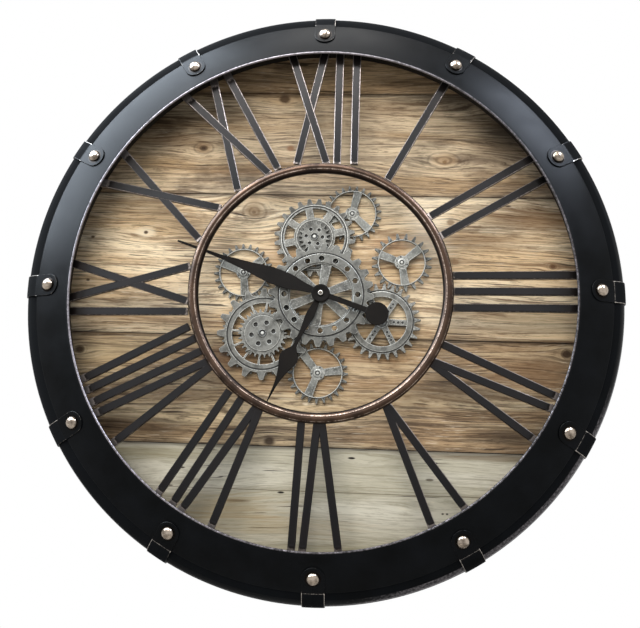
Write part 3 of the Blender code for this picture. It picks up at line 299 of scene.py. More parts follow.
# Dirt lies on the face beside the lip, and where a small step leads down to the shoulder. The rows are
# radius, drop under the crowned cone, and rub.
face = [(radius, 0.0, 0.0) for radius in (251.4, 255, 259, 263, 267, 271, 275, 279, 282.5)]
face = [(250.3, 0.0, -0.5), *face, (285.0, 0.0, 0.1), (285.4, 0.0, 0.3), (285.8, 0.5, -1.0),
        (286.5, 0.5, -1.0)]
face = [(radius, face_height(radius) - drop, rub) for radius, drop, rub in face]
shoulder = bend(shoulder_middle, SHOULDER, 86 - slope, 0, 18, -0.9)
# The middle row of the shoulder, made bright here, is a painted reflection line.
shoulder[8:11, 2] = (-0.2, 0.85, -0.3)
inner = CASE_RADIUS - SHEET
hem = CASE_RADIUS - HEM
ledge = inner - LEDGE_WIDTH
side = [(CASE_RADIUS, 45, 0.0), (CASE_RADIUS, 25, 0.0), (CASE_RADIUS, 3, 0.1), (CASE_RADIUS, 0.6, 0.6),
        (CASE_RADIUS - 0.6, 0.0, 0.6), (hem, 0.0, 0.3), (hem, HEM_RISE, 0.0), (inner, HEM_RISE + SHEET, 0.0),
        (inner, LEDGE, 0.0), (ledge, LEDGE, 0.0), (ledge, LEDGE + 3, 0.2), (inner, LEDGE + 3, 0.0)]
inside = bend(shoulder_middle, SHOULDER - SHEET, 0, 90 - slope, 10)
under_face = face_height(OPENING) - SHEET / math.cos(FACE_TILT)
flange = [(OPENING + SHEET, under_face - SHEET * math.tan(FACE_TILT), 0.0),
          (OPENING + SHEET, FLANGE_FOOT, 0.0), (OPENING, FLANGE_FOOT, 0.4), (OPENING, under_face, 0.0)]
skin, edge, *closed = turned(np.concatenate([lip, face, shoulder, side, inside, flange]), 288, closed=True)
# The lip is rubbed bright all round, and is painted brighter towards the upper left as a painted highlight.
# The row in the middle of the shoulder is a painted reflection line, brightest at the upper left and at the
# lower right, and at the lower right the shoulder is painted grey all over as a painted reflection.
turn = np.linspace(0, 2 * math.pi, 288, endpoint=False)
upper_left = np.clip(1.2 * np.cos(turn - math.radians(140)) + 0.1, 0, 1)
lower_right = np.clip(1.3 * np.cos(turn + math.radians(50)) - 0.2, 0, 1)
reflection_row = len(lip) + len(face) + 9
bulge = slice(reflection_row - 7, reflection_row + 4)
edge = edge.copy()
edge[3:len(lip)] *= 0.73 + 0.2 * np.clip(np.cos(turn - math.radians(150)) + 0.4, 0, 1)
edge[bulge] = edge[bulge] * (1 - lower_right) + 0.56 * lower_right
edge[reflection_row] = np.maximum(0.85 * upper_left, 0.78 * lower_right)
tabs = []
for angle in TAB_ANGLES:
    for turn in (angle, 180 - angle):
        direction = np.array([math.cos(math.radians(turn)), math.sin(math.radians(turn))])
        tabs.append(bar(direction * TAB_REACH[0], direction * TAB_REACH[1], (TAB_WIDTH, TAB_WIDTH),
                        TAB_HEIGHT - TAB_SHEET, TAB_HEIGHT, rub=(0.5, 0.5)))
case_enamel = enamel("satin_black_enamel", "#040506", "#0a0c0f", "#9a959a", 0.34, 0.06, 0.12)
fit(surface("case", [(skin, edge, *closed)] + tabs), case_enamel, "clock_case", "case_paint", "bezel")


# The boards: five sawn and weathered softwood boards, planed flat, each from another plank, with knots, dark
# stains and old nail slots. Grain runs from left to right. The CAD boards stay and get this finish.

BOARD_TILT = math.radians(-0.6)
BOARD_EDGES = (295.3, 230.5, 112.5, -42.5, -155.0, -295.3)

# For each board: pale wood, mid wood, dark grain, how strong the grain is, how cloudy the tone is, and its
# marks. A mark is its place on the board, its half sizes, its colour, its strength, how far the grain bends
# round it and how ragged its edge is.
BOARDS = (
    ("weathered_pine_umber", "#cdae86", "#a08463", "#463524", 0.6, 0.5, (
        (-48.6, 259.6, 14, 6, "#2a1c12", 0.5, 0.3, 0.8), (113.8, 271.9, 60, 9, "#2b1f15", 0.45, 0.0, 1.0),
        (-144.9, 261.7, 60, 14, "#35281b", 0.55, 0.0, 1.0), (41.4, 302.7, 150, 12, "#2a1e15", 0.7, 0.0, 0.8),
    )),
    ("weathered_pine_brown", "#e4cfae", "#b99d78", "#463323", 0.75, 0.95, (
        (0, 186, 120, 42, "#5f4a34", 0.36, 0.0, 1.5), (-135.6, 165.2, 11, 7, "#a28562", 0.55, 0.75, 0.4),
        (-135.6, 165.2, 5.5, 3.6, "#33241a", 0.92, 0.0, 0.5),
        (-39.3, 166.2, 6, 4.5, "#80532f", 0.75, 0.6, 0.4), (-48.1, 223.7, 7, 6, "#3a2616", 0.85, 0.5, 0.4),
        (128.3, 151.8, 3, 2.4, "#4a2f1c", 0.8, 0.4, 0.3), (128.3, 153.9, 17, 9, "#a17c50", 0.5, 0.8, 0.5),
        # The dark marks at (202.9, 187.8) and (-222.5, 204.2), against the case's lip at the upper right and
        # the upper left, are partly stain and partly painted shade of the case.
        (202.9, 187.8, 66, 28, "#2e2014", 0.9, 0.0, 1.25), (155.2, 224.7, 95, 13, "#3a2a1b", 0.72, 0.0, 1.2),
        (178, 157, 46, 13, "#473221", 0.62, 0.0, 1.3), (-222.5, 204.2, 70, 34, "#241a11", 0.88, 0.0, 1.2),
        (-124.2, 204.2, 70, 12, "#4a3622", 0.6, 0.0, 1.3), (-155.2, 173.4, 52, 11, "#6b4d30", 0.55, 0.0, 1.3),
        (62.1, 213.4, 60, 11, "#6a4c30", 0.5, 0.0, 1.3), (-72.4, 139.5, 44, 7, "#7d5c3a", 0.4, 0.0, 1.3),
        (222.5, 124.1, 40, 8, "#5b422b", 0.55, 0.0, 1.2),
    )),
    ("weathered_pine_honey", "#f7e5c4", "#dcc098", "#6f5235", 0.76, 0.4, (
        (112, 72, 26, 46, "#fbf0da", 0.5, 0.0, 0.9), (235, -24, 60, 16, "#ecd8b2", 0.45, 0.0, 1.2),
        (-76.1, 93.5, 13, 11, "#a98a62", 0.6, 0.85, 0.35), (-76.1, 92.3, 3.2, 2.6, "#6a4e33", 0.6, 0.0, 0.3),
        (-192.5, 67.7, 13, 7, "#f2e4c8", 0.75, 0.6, 0.4), (-192.5, 67.7, 2.8, 2.3, "#4a3424", 0.95, 0.0, 0.3),
        (-250.5, 61.5, 3, 1.8, "#4a2f18", 0.9, 0.4, 0.3), (-251.5, 13.8, 2.6, 1.8, "#4a2f18", 0.9, 0.4, 0.3),
        (240.1, 37.9, 5, 3.6, "#5b3a1e", 0.9, 0.75, 0.35), (134.5, 84.1, 5, 4.5, "#8a6947", 0.75, 0.6, 0.4),
        (139.3, 41.4, 5, 4, "#8a6947", 0.65, 0.6, 0.4), (195.2, 103.2, 4, 1.2, "#3c2816", 0.9, 0.2, 0.3),
        (222.5, 87.2, 60, 16, "#7d5a36", 0.68, 0.0, 1.4), (165.6, 66.6, 70, 7, "#8b6640", 0.42, 0.0, 1.4),
        (-31, 44.1, 36, 12, "#a3764c", 0.42, 0.0, 1.4), (62.1, 11.2, 60, 9, "#a3764c", 0.4, 0.0, 1.4),
        (186.3, -27.8, 90, 9, "#8a6742", 0.28, 0.0, 1.4), (-207, 100.5, 60, 8, "#96754b", 0.3, 0.0, 1.4),
        (72.4, 57.4, 24, 9, "#9a6a44", 0.4, 0.0, 1.3), (-207, -22.7, 70, 9, "#a17c50", 0.4, 0.0, 1.4),
    )),
    ("weathered_pine_tan", "#d8c39f", "#af9370", "#4a3725", 0.76, 0.6, (
        (-215, -62, 60, 20, "#cfb992", 0.5, 0.0, 1.3), (215, -66, 50, 26, "#6a4f36", 0.4, 0.0, 1.4),
        (-253.6, -61.3, 6, 5, "#3c2918", 0.9, 0.8, 0.35), (-48.6, -149.3, 7, 5.5, "#35230f", 0.92, 0.6, 0.35),
        (251.5, -53.5, 6, 5.5, "#33200f", 0.92, 0.75, 0.35),
        (-186.3, -139.7, 66, 11, "#3f2f1e", 0.75, 0.0, 1.3), (207, -139.7, 60, 11, "#3b2a1a", 0.78, 0.0, 1.3),
        (72.4, -103.7, 66, 15, "#86673f", 0.5, 0.0, 1.5), (-62.1, -89.4, 70, 12, "#7c5a38", 0.45, 0.0, 1.5),
        (144.9, -94.5, 52, 15, "#6a5033", 0.45, 0.0, 1.5), (-124.2, -107.9, 60, 9, "#7b6040", 0.42, 0.0, 1.5),
        (20.7, -66.8, 60, 8, "#8a6442", 0.4, 0.0, 1.4), (-93.1, -64.7, 34, 14, "#6d4a30", 0.4, 0.0, 1.4),
        (221.5, -77.1, 40, 12, "#6a4e32", 0.55, 0.0, 1.4),
    )),
    ("weathered_pine_grey", "#d6d3c4", "#c1bdaa", "#7a7158", 0.38, 0.3, (
        (35.4, -164.3, 4.5, 1.3, "#1c130c", 1.0, 0.0, 0.1),
        (113.5, -183, 4.8, 1.6, "#5c5340", 0.85, 0.3, 0.2),
        (119.6, -166.4, 2.2, 0.9, "#2e2419", 0.9, 0.0, 0.2),
        (126.3, -215.2, 1.6, 1.1, "#2e2419", 0.95, 0.0, 0.1),
        (130.6, -215.2, 1.6, 1.1, "#2e2419", 0.95, 0.0, 0.1),
        (-136.6, -179.1, 4.5, 1.2, "#33281b", 0.95, 0.0, 0.2),
        (-34.6, -200.2, 4.4, 1.3, "#1c130c", 1.0, 0.0, 0.1),
        (-78.7, -209.7, 16, 1.6, "#4a3a27", 0.8, 0.0, 0.7),
        (-147, -197.1, 4.0, 1.0, "#3b2f20", 0.9, 0.0, 0.3),
        (-20.7, -198.4, 260, 0.55, "#5f553e", 0.75, 0.0, 0.2),
        (62.1, -192.5, 90, 0.4, "#6f654b", 0.55, 0.0, 0.2),
        (165.6, -198.2, 80, 0.5, "#5f553e", 0.7, 0.0, 0.3),
        (-93.1, -217.7, 60, 16, "#a08a62", 0.55, 0.0, 1.5), (-41.4, -233.1, 80, 12, "#a58f68", 0.4, 0.0, 1.5),
        (-175.9, -166.4, 60, 9, "#8c8260", 0.5, 0.0, 1.4), (20.7, -255.7, 90, 9, "#a39a78", 0.4, 0.0, 1.4),
        (175.9, -159.7, 80, 3.6, "#6d5a3e", 0.7, 0.0, 0.9), (6.2, -250.5, 24, 0.5, "#9a8f70", 0.5, 0.0, 0.3),
    )),
)


def plank(name, pale, mid, dark, strength, cloud, marks, upper, lower, seed):
    """Weathered softwood. The board's upright coordinate, swept by a slow noise, gives flow lines, and noises
    stretched along them give tone over 20 mm, year rings of 3 mm, streaks, fibres of 1.4 mm, the finest that
    show, and cracks. Round a knot the upright coordinate also shrinks by a bell of the distance, so the
    grain flows round it, and a sine of the distance, bent by a slow noise, draws the knot's own rings. Marks
    are laid over it in turn, and dirt gathers along the saw-cut edges."""
    material, tree, shader, place = blank(name)
    # The dial's middle becomes the pattern's origin, in millimetres, and the pattern turns with the boards.
    place = add(tree, "VectorMath", {0: place, 1: (0.0, 0.0, DIAL_HEIGHT / 1000)}, operation="SUBTRACT")
    place = add(tree, "Mapping", {"Vector": place, "Rotation": (0.0, BOARD_TILT, 0.0),
                                  "Scale": (1000.0,) * 3})
    grain = place
    veils = []
    for x, y, half_x, half_y, code, depth, pull, ragged in marks:
        apart = add(tree, "VectorMath", {0: place, 1: (x, 0.0, y)}, operation="SUBTRACT")
        if pull:
            spread = add(tree, "VectorMath", {0: apart, 1: (0.33 / half_x, 0.0, 0.5 / half_y)},
                         operation="MULTIPLY")
            away = add(tree, "VectorMath", {0: spread, 1: spread}, operation="DOT_PRODUCT")
            bell = add(tree, "Math", {0: math.exp(-1), 1: away}, operation="POWER")
            offset = add(tree, "VectorMath", {0: apart, 1: (0.0, 0.0, pull)}, operation="MULTIPLY")
            offset = add(tree, "VectorMath", {0: offset, "Scale": bell}, operation="SCALE")
            grain = add(tree, "VectorMath", {0: grain, 1: offset}, operation="SUBTRACT")
        near = add(tree, "VectorMath", {0: apart, 1: (1 / half_x, 0.0, 1 / half_y)}, operation="MULTIPLY")
        veils.append((add(tree, "VectorMath", {0: near}, operation="LENGTH"), code, depth, ragged, pull))
    shifted = add(tree, "VectorMath", {0: grain, 1: (seed * 371.0, seed * 53.0, 0.0)}, operation="ADD")
    sweep = add(tree, "VectorMath", {0: shifted, 1: (0.0035, 0.02, 0.026)}, operation="MULTIPLY")
    sweep = add(tree, "TexNoise", {"Vector": sweep, "Scale": 1.0, "Detail": 2.0})
    ripple = add(tree, "VectorMath", {0: shifted, 1: (0.016, 0.05, 0.14)}, operation="MULTIPLY")
    ripple = add(tree, "TexNoise", {"Vector": ripple, "Scale": 1.0, "Detail": 2.0})
    ripple = add(tree, "Math", {0: ripple, 1: 4.0}, operation="MULTIPLY")
    rise = add(tree, "Math", {0: sweep, 1: 30.0, 2: ripple}, operation="MULTIPLY_ADD")
    rise = add(tree, "CombineXYZ", {2: rise})
    flow = add(tree, "VectorMath", {0: shifted, 1: rise}, operation="ADD")
    layer = {}
    for title, stretch, detail, roughness in (
        ("tone", (0.0045, 0.02, 0.05), 2.0, 0.5), ("ring", (0.0026, 0.02, 0.36), 3.0, 0.6),
        ("streak", (0.012, 0.05, 0.29), 4.0, 0.6), ("fibre", (0.042, 0.1, 0.72), 3.0, 0.7),
        ("crack", (0.014, 0.05, 0.62), 1.0, 0.5), ("stain", (0.014, 0.02, 0.034), 4.0, 0.6),
        ("wear", (0.05, 0.1, 0.25), 5.0, 0.7),
    ):
        spread = add(tree, "VectorMath", {0: flow, 1: stretch}, operation="MULTIPLY")
        layer[title] = add(tree, "TexNoise", {"Vector": spread, "Scale": 1.0, "Detail": detail,
                                              "Roughness": roughness})
    tone = add(tree, "MapRange", {"Value": layer["tone"], "From Min": 0.39, "From Max": 0.61})
    colour = add(tree, "Mix", {0: tone, 6: pale, 7: mid}, data_type="RGBA")
    # Each layer is laid on between two levels of its noise, with what colour and how strongly.
    for title, low, high, code, depth in (
        ("stain", 0.50, 0.70, dark, cloud * 0.6), ("ring", 0.52, 0.60, dark, strength * 0.6),
        ("streak", 0.53, 0.63, dark, strength * 0.85), ("fibre", 0.52, 0.62, dark, strength * 0.75),
        ("fibre", 0.44, 0.30, "#f8ecd6", strength * 0.55), ("wear", 0.55, 0.68, dark, strength * 0.5),
        ("crack", 0.72 - 0.075 * strength, 0.76 - 0.075 * strength, "#2a1d12", 0.85),
    ):
        share = add(tree, "MapRange", {"Value": layer[title], "From Min": low, "From Max": high,
                                       "To Max": depth}, interpolation_type="SMOOTHSTEP")
        colour = add(tree, "Mix", {0: share, 6: colour, 7: code}, data_type="RGBA")
    for distance, code, depth, ragged, pull in veils:
        torn = add(tree, "MapRange", {"Value": layer["streak"], "From Min": 0.3, "From Max": 0.7,
                                      "To Min": -ragged / 2, "To Max": ragged / 2})
        torn = add(tree, "Math", {0: distance, 1: torn}, operation="ADD")
        veil = add(tree, "MapRange", {"Value": torn, "From Min": 1.0 + ragged * 0.3,
                                      "From Max": 0.55 - ragged * 0.35, "To Max": depth},
                   interpolation_type="SMOOTHSTEP")
        colour = add(tree, "Mix", {0: veil, 6: colour, 7: code}, data_type="RGBA")
        if pull >= 0.7:
            wave = add(tree, "Math", {0: layer["stain"], 1: 16.0, 2: 1.0}, operation="MULTIPLY_ADD")
            wave = add(tree, "Math", {0: distance, 1: 11.0, 2: wave}, operation="MULTIPLY_ADD")
            wave = add(tree, "Math", {0: wave}, operation="SINE")
            fade = add(tree, "MapRange", {"Value": distance, "From Min": 1.7, "From Max": 0.9,
                                          "To Max": 0.55})
            wave = add(tree, "Math", {0: wave, 1: fade}, operation="MULTIPLY")
            wave = add(tree, "MapRange", {"Value": wave, "From Max": 0.55, "To Max": 0.45})
            colour = add(tree, "Mix", {0: wave, 6: colour, 7: dark}, data_type="RGBA")
    upright = add(tree, "SeparateXYZ", {0: place}, out="Z")
    half = (upper - lower) / 2
    edge = add(tree, "Math", {0: upright, 1: (upper + lower) / 2}, operation="SUBTRACT")
    edge = add(tree, "Math", {0: edge}, operation="ABSOLUTE")
    edge = add(tree, "Math", {0: sweep, 1: 7.0, 2: edge}, operation="MULTIPLY_ADD")
    edge = add(tree, "MapRange", {"Value": edge, "From Min": half - 1.5, "From Max": half + 4.5,
                                  "To Max": 0.75}, interpolation_type="SMOOTHSTEP")
    colour = add(tree, "Mix", {0: edge, 6: colour, 7: "#33251a"}, data_type="RGBA")
    relief = add(tree, "Math", {0: layer["streak"], 1: 0.6, 2: layer["fibre"]}, operation="MULTIPLY_ADD")
    bump = add(tree, "Bump", {"Height": relief, "Strength": 0.35, "Distance": 0.0006}, invert=True)
    feed(tree, shader, {"Base Color": colour, "Normal": bump, "Roughness": 0.72, "Specular IOR Level": 0.25})
    return material


def dress(node, material):
    """Gives a CAD node that stays in the scene its finish."""
    nodes[node].data.materials.clear()
    nodes[node].data.materials.append(material)


for number, board in enumerate(BOARDS):
    dress(f"board_{number + 1}", plank(*board, *BOARD_EDGES[number:number + 2], seed=number + 1))


# Behind the boards a black paper tape, 0.2 mm thick, closes each seam. It is stuck flat on their backs.

BOARD_BACK = 17.5
TAPE = (24.0, 0.2)        # width and thickness


def tape(height_on_dial):
    """Strip along a seam: a flat box in a grid, as wide as the tape and as long as the boards are there."""
    reach = math.sqrt(293.0 ** 2 - (abs(height_on_dial) + TAPE[0] / 2) ** 2)
    along, across = np.linspace(-reach, reach, 60)[:, None], np.array([-0.5, -0.5, 0.5, 0.5]) * TAPE[0]
    lift = BOARD_BACK - 0.05 - np.array([TAPE[1], 0.0, 0.0, TAPE[1]])
    x = along * math.cos(BOARD_TILT) - across * math.sin(BOARD_TILT)
    y = along * math.sin(BOARD_TILT) + across * math.cos(BOARD_TILT) + height_on_dial
    points = np.stack(np.broadcast_arrays(x, y, lift), axis=-1)
    ends = points[[0, -1]].mean(axis=1, keepdims=True).repeat(4, axis=1)
    return np.concatenate([ends[:1], points, ends[1:]]), np.zeros((62, 4)), False, True


# Black paper: a soft, faintly fibrous black, mottled at 3 mm.
paper, tree, shader, place = blank("black_paper_tape")
pulp = add(tree, "TexNoise", {"Vector": place, "Scale": 300.0, "Detail": 4.0})
colour = add(tree, "Mix", {0: pulp, 6: "#0e0c0b", 7: "#1e1a17"}, data_type="RGBA")
feed(tree, shader, {"Base Color": colour, "Roughness": 0.85})
fit(surface("seam_tape", [tape(seam) for seam in BOARD_EDGES[1:-1]]), paper, "clock_case", "black_plastic")


# The works behind the boards: a quartz movement with its bush, its setting knob, the box of the gear motor
# and the hanger plate. The boxes are moulded ABS with a fine eroded texture, and the hanger is zinc-plated
# sheet. The CAD nodes stay and get these finishes.

def moulded(name, code, roughness):
    """Moulded ABS: one colour with a spark-eroded grit of 0.4 mm, drawn at 0.8 mm so that it shows."""
    material, tree, shader, place = blank(name)
    grit = add(tree, "TexNoise", {"Vector": place, "Scale": 1250.0, "Detail": 2.0})
    haze = add(tree, "TexNoise", {"Vector": place, "Scale": 45.0, "Detail": 3.0})
    pale = tuple(min(1.0, channel * 1.5 + 0.004) for channel in linear(code)[:3]) + (1.0,)
    colour = add(tree, "Mix", {0: haze, 6: code, 7: pale}, data_type="RGBA")
    bump = add(tree, "Bump", {"Height": grit, "Strength": 0.3, "Distance": 0.0002})
    feed(tree, shader, {"Base Color": colour, "Normal": bump, "Roughness": roughness,
                        "Specular IOR Level": 0.35})
    return material


def plated(name, code, shade, roughness):
    """Zinc-plated sheet: a pale metal with spangle of 8 mm and fine scuffs."""
    material, tree, shader, place = blank(name)
    spangle = add(tree, "TexVoronoi", {"Vector": place, "Scale": 125.0}, out="Color")
    scuff = add(tree, "TexNoise", {"Vector": place, "Scale": 300.0, "Detail": 5.0})
    tone = add(tree, "MapRange", {"Value": spangle, "To Min": 0.2, "To Max": 0.8})
    colour = add(tree, "Mix", {0: tone, 6: code, 7: shade}, data_type="RGBA")
    rough = add(tree, "MapRange", {"Value": scuff, "From Min": 0.3, "From Max": 0.7,
                                   "To Min": roughness - 0.08, "To Max": roughness + 0.1})
    feed(tree, shader, {"Base Color": colour, "Roughness": rough, "Metallic": 1.0})
    return material


black_abs = moulded("moulded_black_abs", "#17181a", 0.5)
dress("movement", black_abs)
dress("gear_motor_box", black_abs)
dress("setting_knob", moulded("moulded_grey_abs", "#6d6e70", 0.45))
dress("hanger_plate", plated("zinc_plated_sheet", "#b9bcbc", "#8f9394", 0.38))


# The gear train: eight gears cast in a zinc alloy, tumbled, plated a dull pewter and washed with a dark
# patina that stays in the corners. Raised rims are rubbed brighter. Each is one casting, fast on its arbor.
# In the rows of every profile a radius or an inset comes first, then a height, then the rub.

REAR = 28.2               # heights over the wall of the layers of gears
WHEEL = 32.2
WHEEL_TOP = 35.2
FINE = 35.8
FRONT = 38.6
FRONT_TOP = 41.6
BAND_TOP = 42.4
PINION_TOP = 38.3
HOLE_DEPTH = 1.5          # of the holes in the pinions' faces
BOARD_FRONT = 26.0
HUB_RADIUS = 6.0          # behind a gear
SHAFT_RADIUS = 3.0
CAP_RADIUS = 4.5          # push-on cap behind the boards
CAP_HEIGHT = 1.9
CLEARANCE = 0.3           # of hubs and caps from the boards
DRIVEN_FOOT = 9.5         # where a driven shaft ends, in the motor box
BUSH_BORE = 5.15          # of the centre gear, on the movement's bush
FINE_MODULE = 1.6
REAR_MODULE = 2.4
RIGHT_MODULE = 2.86
PRESSURE = math.radians(20)
BACKLASH = 0.2


def teeth(count, turn, root, root_width, tip, tip_width, corner=0.45):
    """Outline of straight-flanked teeth, anticlockwise. Each tooth is nine points of radius and angle: the
    middle of the gap, the foot with a small fillet, the flank, the tip with blunted corners, and back."""
    def half(radius):
        share = (radius - root) / (tip - root)
        return (root_width + (tip_width - root_width) * share) / 2 / radius
    rise = [root + corner, tip - corner]
    radius = [root, root] + rise + [tip, tip] + rise[::-1] + [root]
    near = [half(root) + corner / root, half(rise[0]), half(rise[1]), half(tip) - corner / tip]
    angle = [-math.pi / count] + [-value for value in near] + near[::-1]
    angles = turn + 2 * math.pi / count * np.arange(count)[:, None] + np.array(angle)
    radii = np.tile(radius, count)
    return np.stack([radii * np.cos(angles.ravel()), radii * np.sin(angles.ravel())], axis=-1)


def mesh_teeth(module, count, turn):
    """Outline of teeth that mesh: at root and tip each is as wide as the involute tooth there, half of which
    is pi / 2N less the backlash, plus inv 20 degrees less inv of the flank's angle."""
    pitch = module * count / 2
    widths = []
    for radius in (pitch - 1.25 * module, pitch + module):
        flank = math.acos(min(1.0, pitch * math.cos(PRESSURE) / radius))
        half = math.pi / (2 * count) - BACKLASH / (2 * pitch)
        half += math.tan(PRESSURE) - PRESSURE - math.tan(flank) + flank
        widths += [radius, half * 2 * radius]
    return teeth(count, turn, *widths, corner=module * 0.16)


def wheel(outline, rows, level=0.0):
    """Closed loops stacked in and out round a wheel. A row is a distance, a height over the level and a rub.
    The distance is a circle's radius or, in a row that ends with True, an inset from the toothed outline."""
    angle = np.arctan2(outline[:, 1], outline[:, 0])
    step = np.roll(outline, -1, 0) - np.roll(outline, 1, 0)
    outward = np.stack([step[:, 1], -step[:, 0]], axis=-1) / np.linalg.norm(step, axis=1)[:, None]
    ring = np.stack([np.cos(angle), np.sin(angle)], axis=-1)
    loops = [outline - outward * row[0] if len(row) > 3 else ring * row[0] for row in rows]
    height = level + np.array([row[1] for row in rows], float)[:, None, None]
    rub = np.array([row[2] for row in rows], float)[:, None]
    flat = np.array(loops)
    points = np.concatenate([flat, np.broadcast_to(height, flat.shape[:2] + (1,))], axis=-1)
    return points, np.broadcast_to(rub, flat.shape[:2]), True, True


def moved(patches, centre):
    """Patches shifted from the middle of the dial to an arbor."""
    return [(points + np.array([centre[0], centre[1], 0.0]), rub, rows, columns)
            for points, rub, rows, columns in patches]


def pierced(inner, outer, circle, hole, count, turn, bottom, top):
    """Flat band with a ring of round holes, each in a cell of its own. Seen in the cell, with the arc u and
    the radius v from the hole's middle, points move straight from the hole's edge to the cell's edge."""
    reach = math.pi * circle / count
    corners = [math.atan2(v - circle, u) for u, v in ((reach, inner), (reach, outer), (-reach, outer),
                                                     (-reach, inner))]
    corners[2:] = [value % (2 * math.pi) for value in corners[2:]]
    stops = corners + [corners[0] + 2 * math.pi]
    angle = np.concatenate([np.linspace(low, high, 6, endpoint=False) for low, high in zip(stops, stops[1:])])
    with np.errstate(divide="ignore"):
        to_side = reach / np.abs(np.cos(angle))
        to_rim = np.where(np.sin(angle) > 0, outer - circle, circle - inner) / np.abs(np.sin(angle))
    far = np.minimum(to_side, to_rim)
    near = np.full(angle.shape, hole)
    steps = [(far, bottom, 0.0), (near, bottom, -1.0), (near, top - 0.3, -1.0), (near, top - 0.25, 0.2),
             (near + 0.3, top, 0.8), (np.minimum(near + 0.8, far), top, 0.0),
             ((near + far) / 2, top, 0.0), (far, top, 0.0)]
    patches = []
    for cell in range(count):
        rows = []
        for away, height, _ in steps:
            where = turn + 2 * math.pi * cell / count + away * np.cos(angle) / circle
            radius = circle + away * np.sin(angle)
            rows.append(np.stack([radius * np.cos(where), radius * np.sin(where),
                                  np.full(angle.shape, height)], axis=-1))
        rub = np.array([step[2] for step in steps])[:, None]
        patches.append((np.array(rows), np.broadcast_to(rub, (len(rows), len(angle))), False, True))
    return patches


def spokes(count, turn, hub, rim, width, bottom, top, chamfer=0.35, rub=(0.7, 0.7)):
    """Spokes from the hub to just inside the rim, at even angles."""
    made = []
    for number in range(count):
        angle = turn + 2 * math.pi * number / count
        direction = np.array([math.cos(angle), math.sin(angle)])
        made.append(bar(direction * hub, direction * rim, width, bottom, top, chamfer, rub))
    return made


def disc(radius, bottom, top, steps, rings=()):
    """Round disc with a blunted rim. Rings are raised circles on its top: radius, width and height."""
    profile = [(0.0, bottom, 0.0), (radius, bottom, 0.0), (radius, top - 0.3, 0.6), (radius - 0.3, top, 0.6)]
    for ring, width, height in rings:
        profile += [(ring + width / 2 + 0.25, top, -0.6), (ring + width / 2, top + height, 0.6),
                    (ring - width / 2, top + height, 0.6), (ring - width / 2 - 0.25, top, -0.6)]
    return turned(profile + [(0.0, top, 0.0)], steps)


def head(level):
    """Riveted end of an arbor: a black collar sunk round a bright domed end."""
    return turned([(4.3, -0.2, -1.0), (4.2, 0.5, 0.2), (3.7, 0.7, 0.3), (3.3, 0.45, -1.6), (1.9, 0.35, -1.6),
                   (1.75, 0.5, 1.4), (1.4, 0.9, 1.6), (0.0, 1.0, 1.6)], 32, level=level)


def arbor(hub_top, driven):
    """Hub and shaft behind a gear. A driven one ends in the motor box, and a free one in a push-on cap."""
    hub_foot = BOARD_FRONT + CLEARANCE
    rows = [(HUB_RADIUS, hub_top, 0.0), (HUB_RADIUS, hub_foot + 0.3, 0.0), (HUB_RADIUS - 0.4, hub_foot, 0.0),
            (SHAFT_RADIUS, hub_foot, 0.0)]
    if driven:
        rows += [(SHAFT_RADIUS, DRIVEN_FOOT + 0.3, 0.0), (SHAFT_RADIUS - 0.3, DRIVEN_FOOT, 0.0),
                 (0.0, DRIVEN_FOOT, 0.0)]
    else:
        cap_top = BOARD_BACK - CLEARANCE
        cap_foot = cap_top - CAP_HEIGHT
        rows += [(SHAFT_RADIUS, cap_top, 0.0), (CAP_RADIUS, cap_top, 0.3), (CAP_RADIUS, cap_foot + 0.4, 0.3),
                 (CAP_RADIUS - 0.4, cap_foot, 0.5), (0.0, cap_foot, 0.5)]
    return turned(rows, 32)


# Pewter plate over zinc alloy: a dull grey metal, mottled by patina, black in corners and pale on edges.
def pewter(name, plate, wash, edge):
    """Patinated plate. Mottle of 9 mm varies the wash, and rub, broken up by a cast grain of 1.6 mm, lays on
    bright metal or, below zero, dirt."""
    material, tree, shader, place = blank(name)
    rub = add(tree, "Attribute", out="Fac", attribute_name="rub")
    mottle = add(tree, "TexNoise", {"Vector": place, "Scale": 110.0, "Detail": 6.0, "Roughness": 0.65})
    cast = add(tree, "TexNoise", {"Vector": place, "Scale": 620.0, "Detail": 3.0, "Roughness": 0.6})
    wet = add(tree, "MapRange", {"Value": mottle, "From Min": 0.40, "From Max": 0.66},
              interpolation_type="SMOOTHSTEP")
    colour = add(tree, "Mix", {0: wet, 6: plate, 7: wash}, data_type="RGBA")
    broken = add(tree, "MapRange", {"Value": cast, "From Min": 0.3, "From Max": 0.7, "To Min": -0.35,
                                    "To Max": 0.35})
    worn = add(tree, "Math", {0: rub, 1: broken}, operation="ADD")
    bright = add(tree, "MapRange", {"Value": worn, "From Min": 0.15, "From Max": 1.0},
                 interpolation_type="SMOOTHSTEP")
    dirty = add(tree, "MapRange", {"Value": worn, "From Min": -0.2, "From Max": -1.0, "To Max": 0.92},
                interpolation_type="SMOOTHSTEP")
    colour = add(tree, "Mix", {0: bright, 6: colour, 7: edge}, data_type="RGBA")
    colour = add(tree, "Mix", {0: dirty, 6: colour, 7: "#1b1a18"}, data_type="RGBA")
    rough = add(tree, "MapRange", {"Value": mottle, "From Min": 0.3, "From Max": 0.7, "To Min": 0.42,
                                   "To Max": 0.6})
    bump = add(tree, "Bump", {"Height": cast, "Strength": 0.25, "Distance": 0.0003})
    feed(tree, shader, {"Base Color": colour, "Roughness": rough, "Normal": bump, "Metallic": 0.55})
    return material


plate = pewter("pewter_plated_zinc", "#6e6e69", "#474641", "#adada7")
centre_plate = pewter("pewter_plated_zinc_washed", "#60605b", "#3b3a36", "#a3a39d")

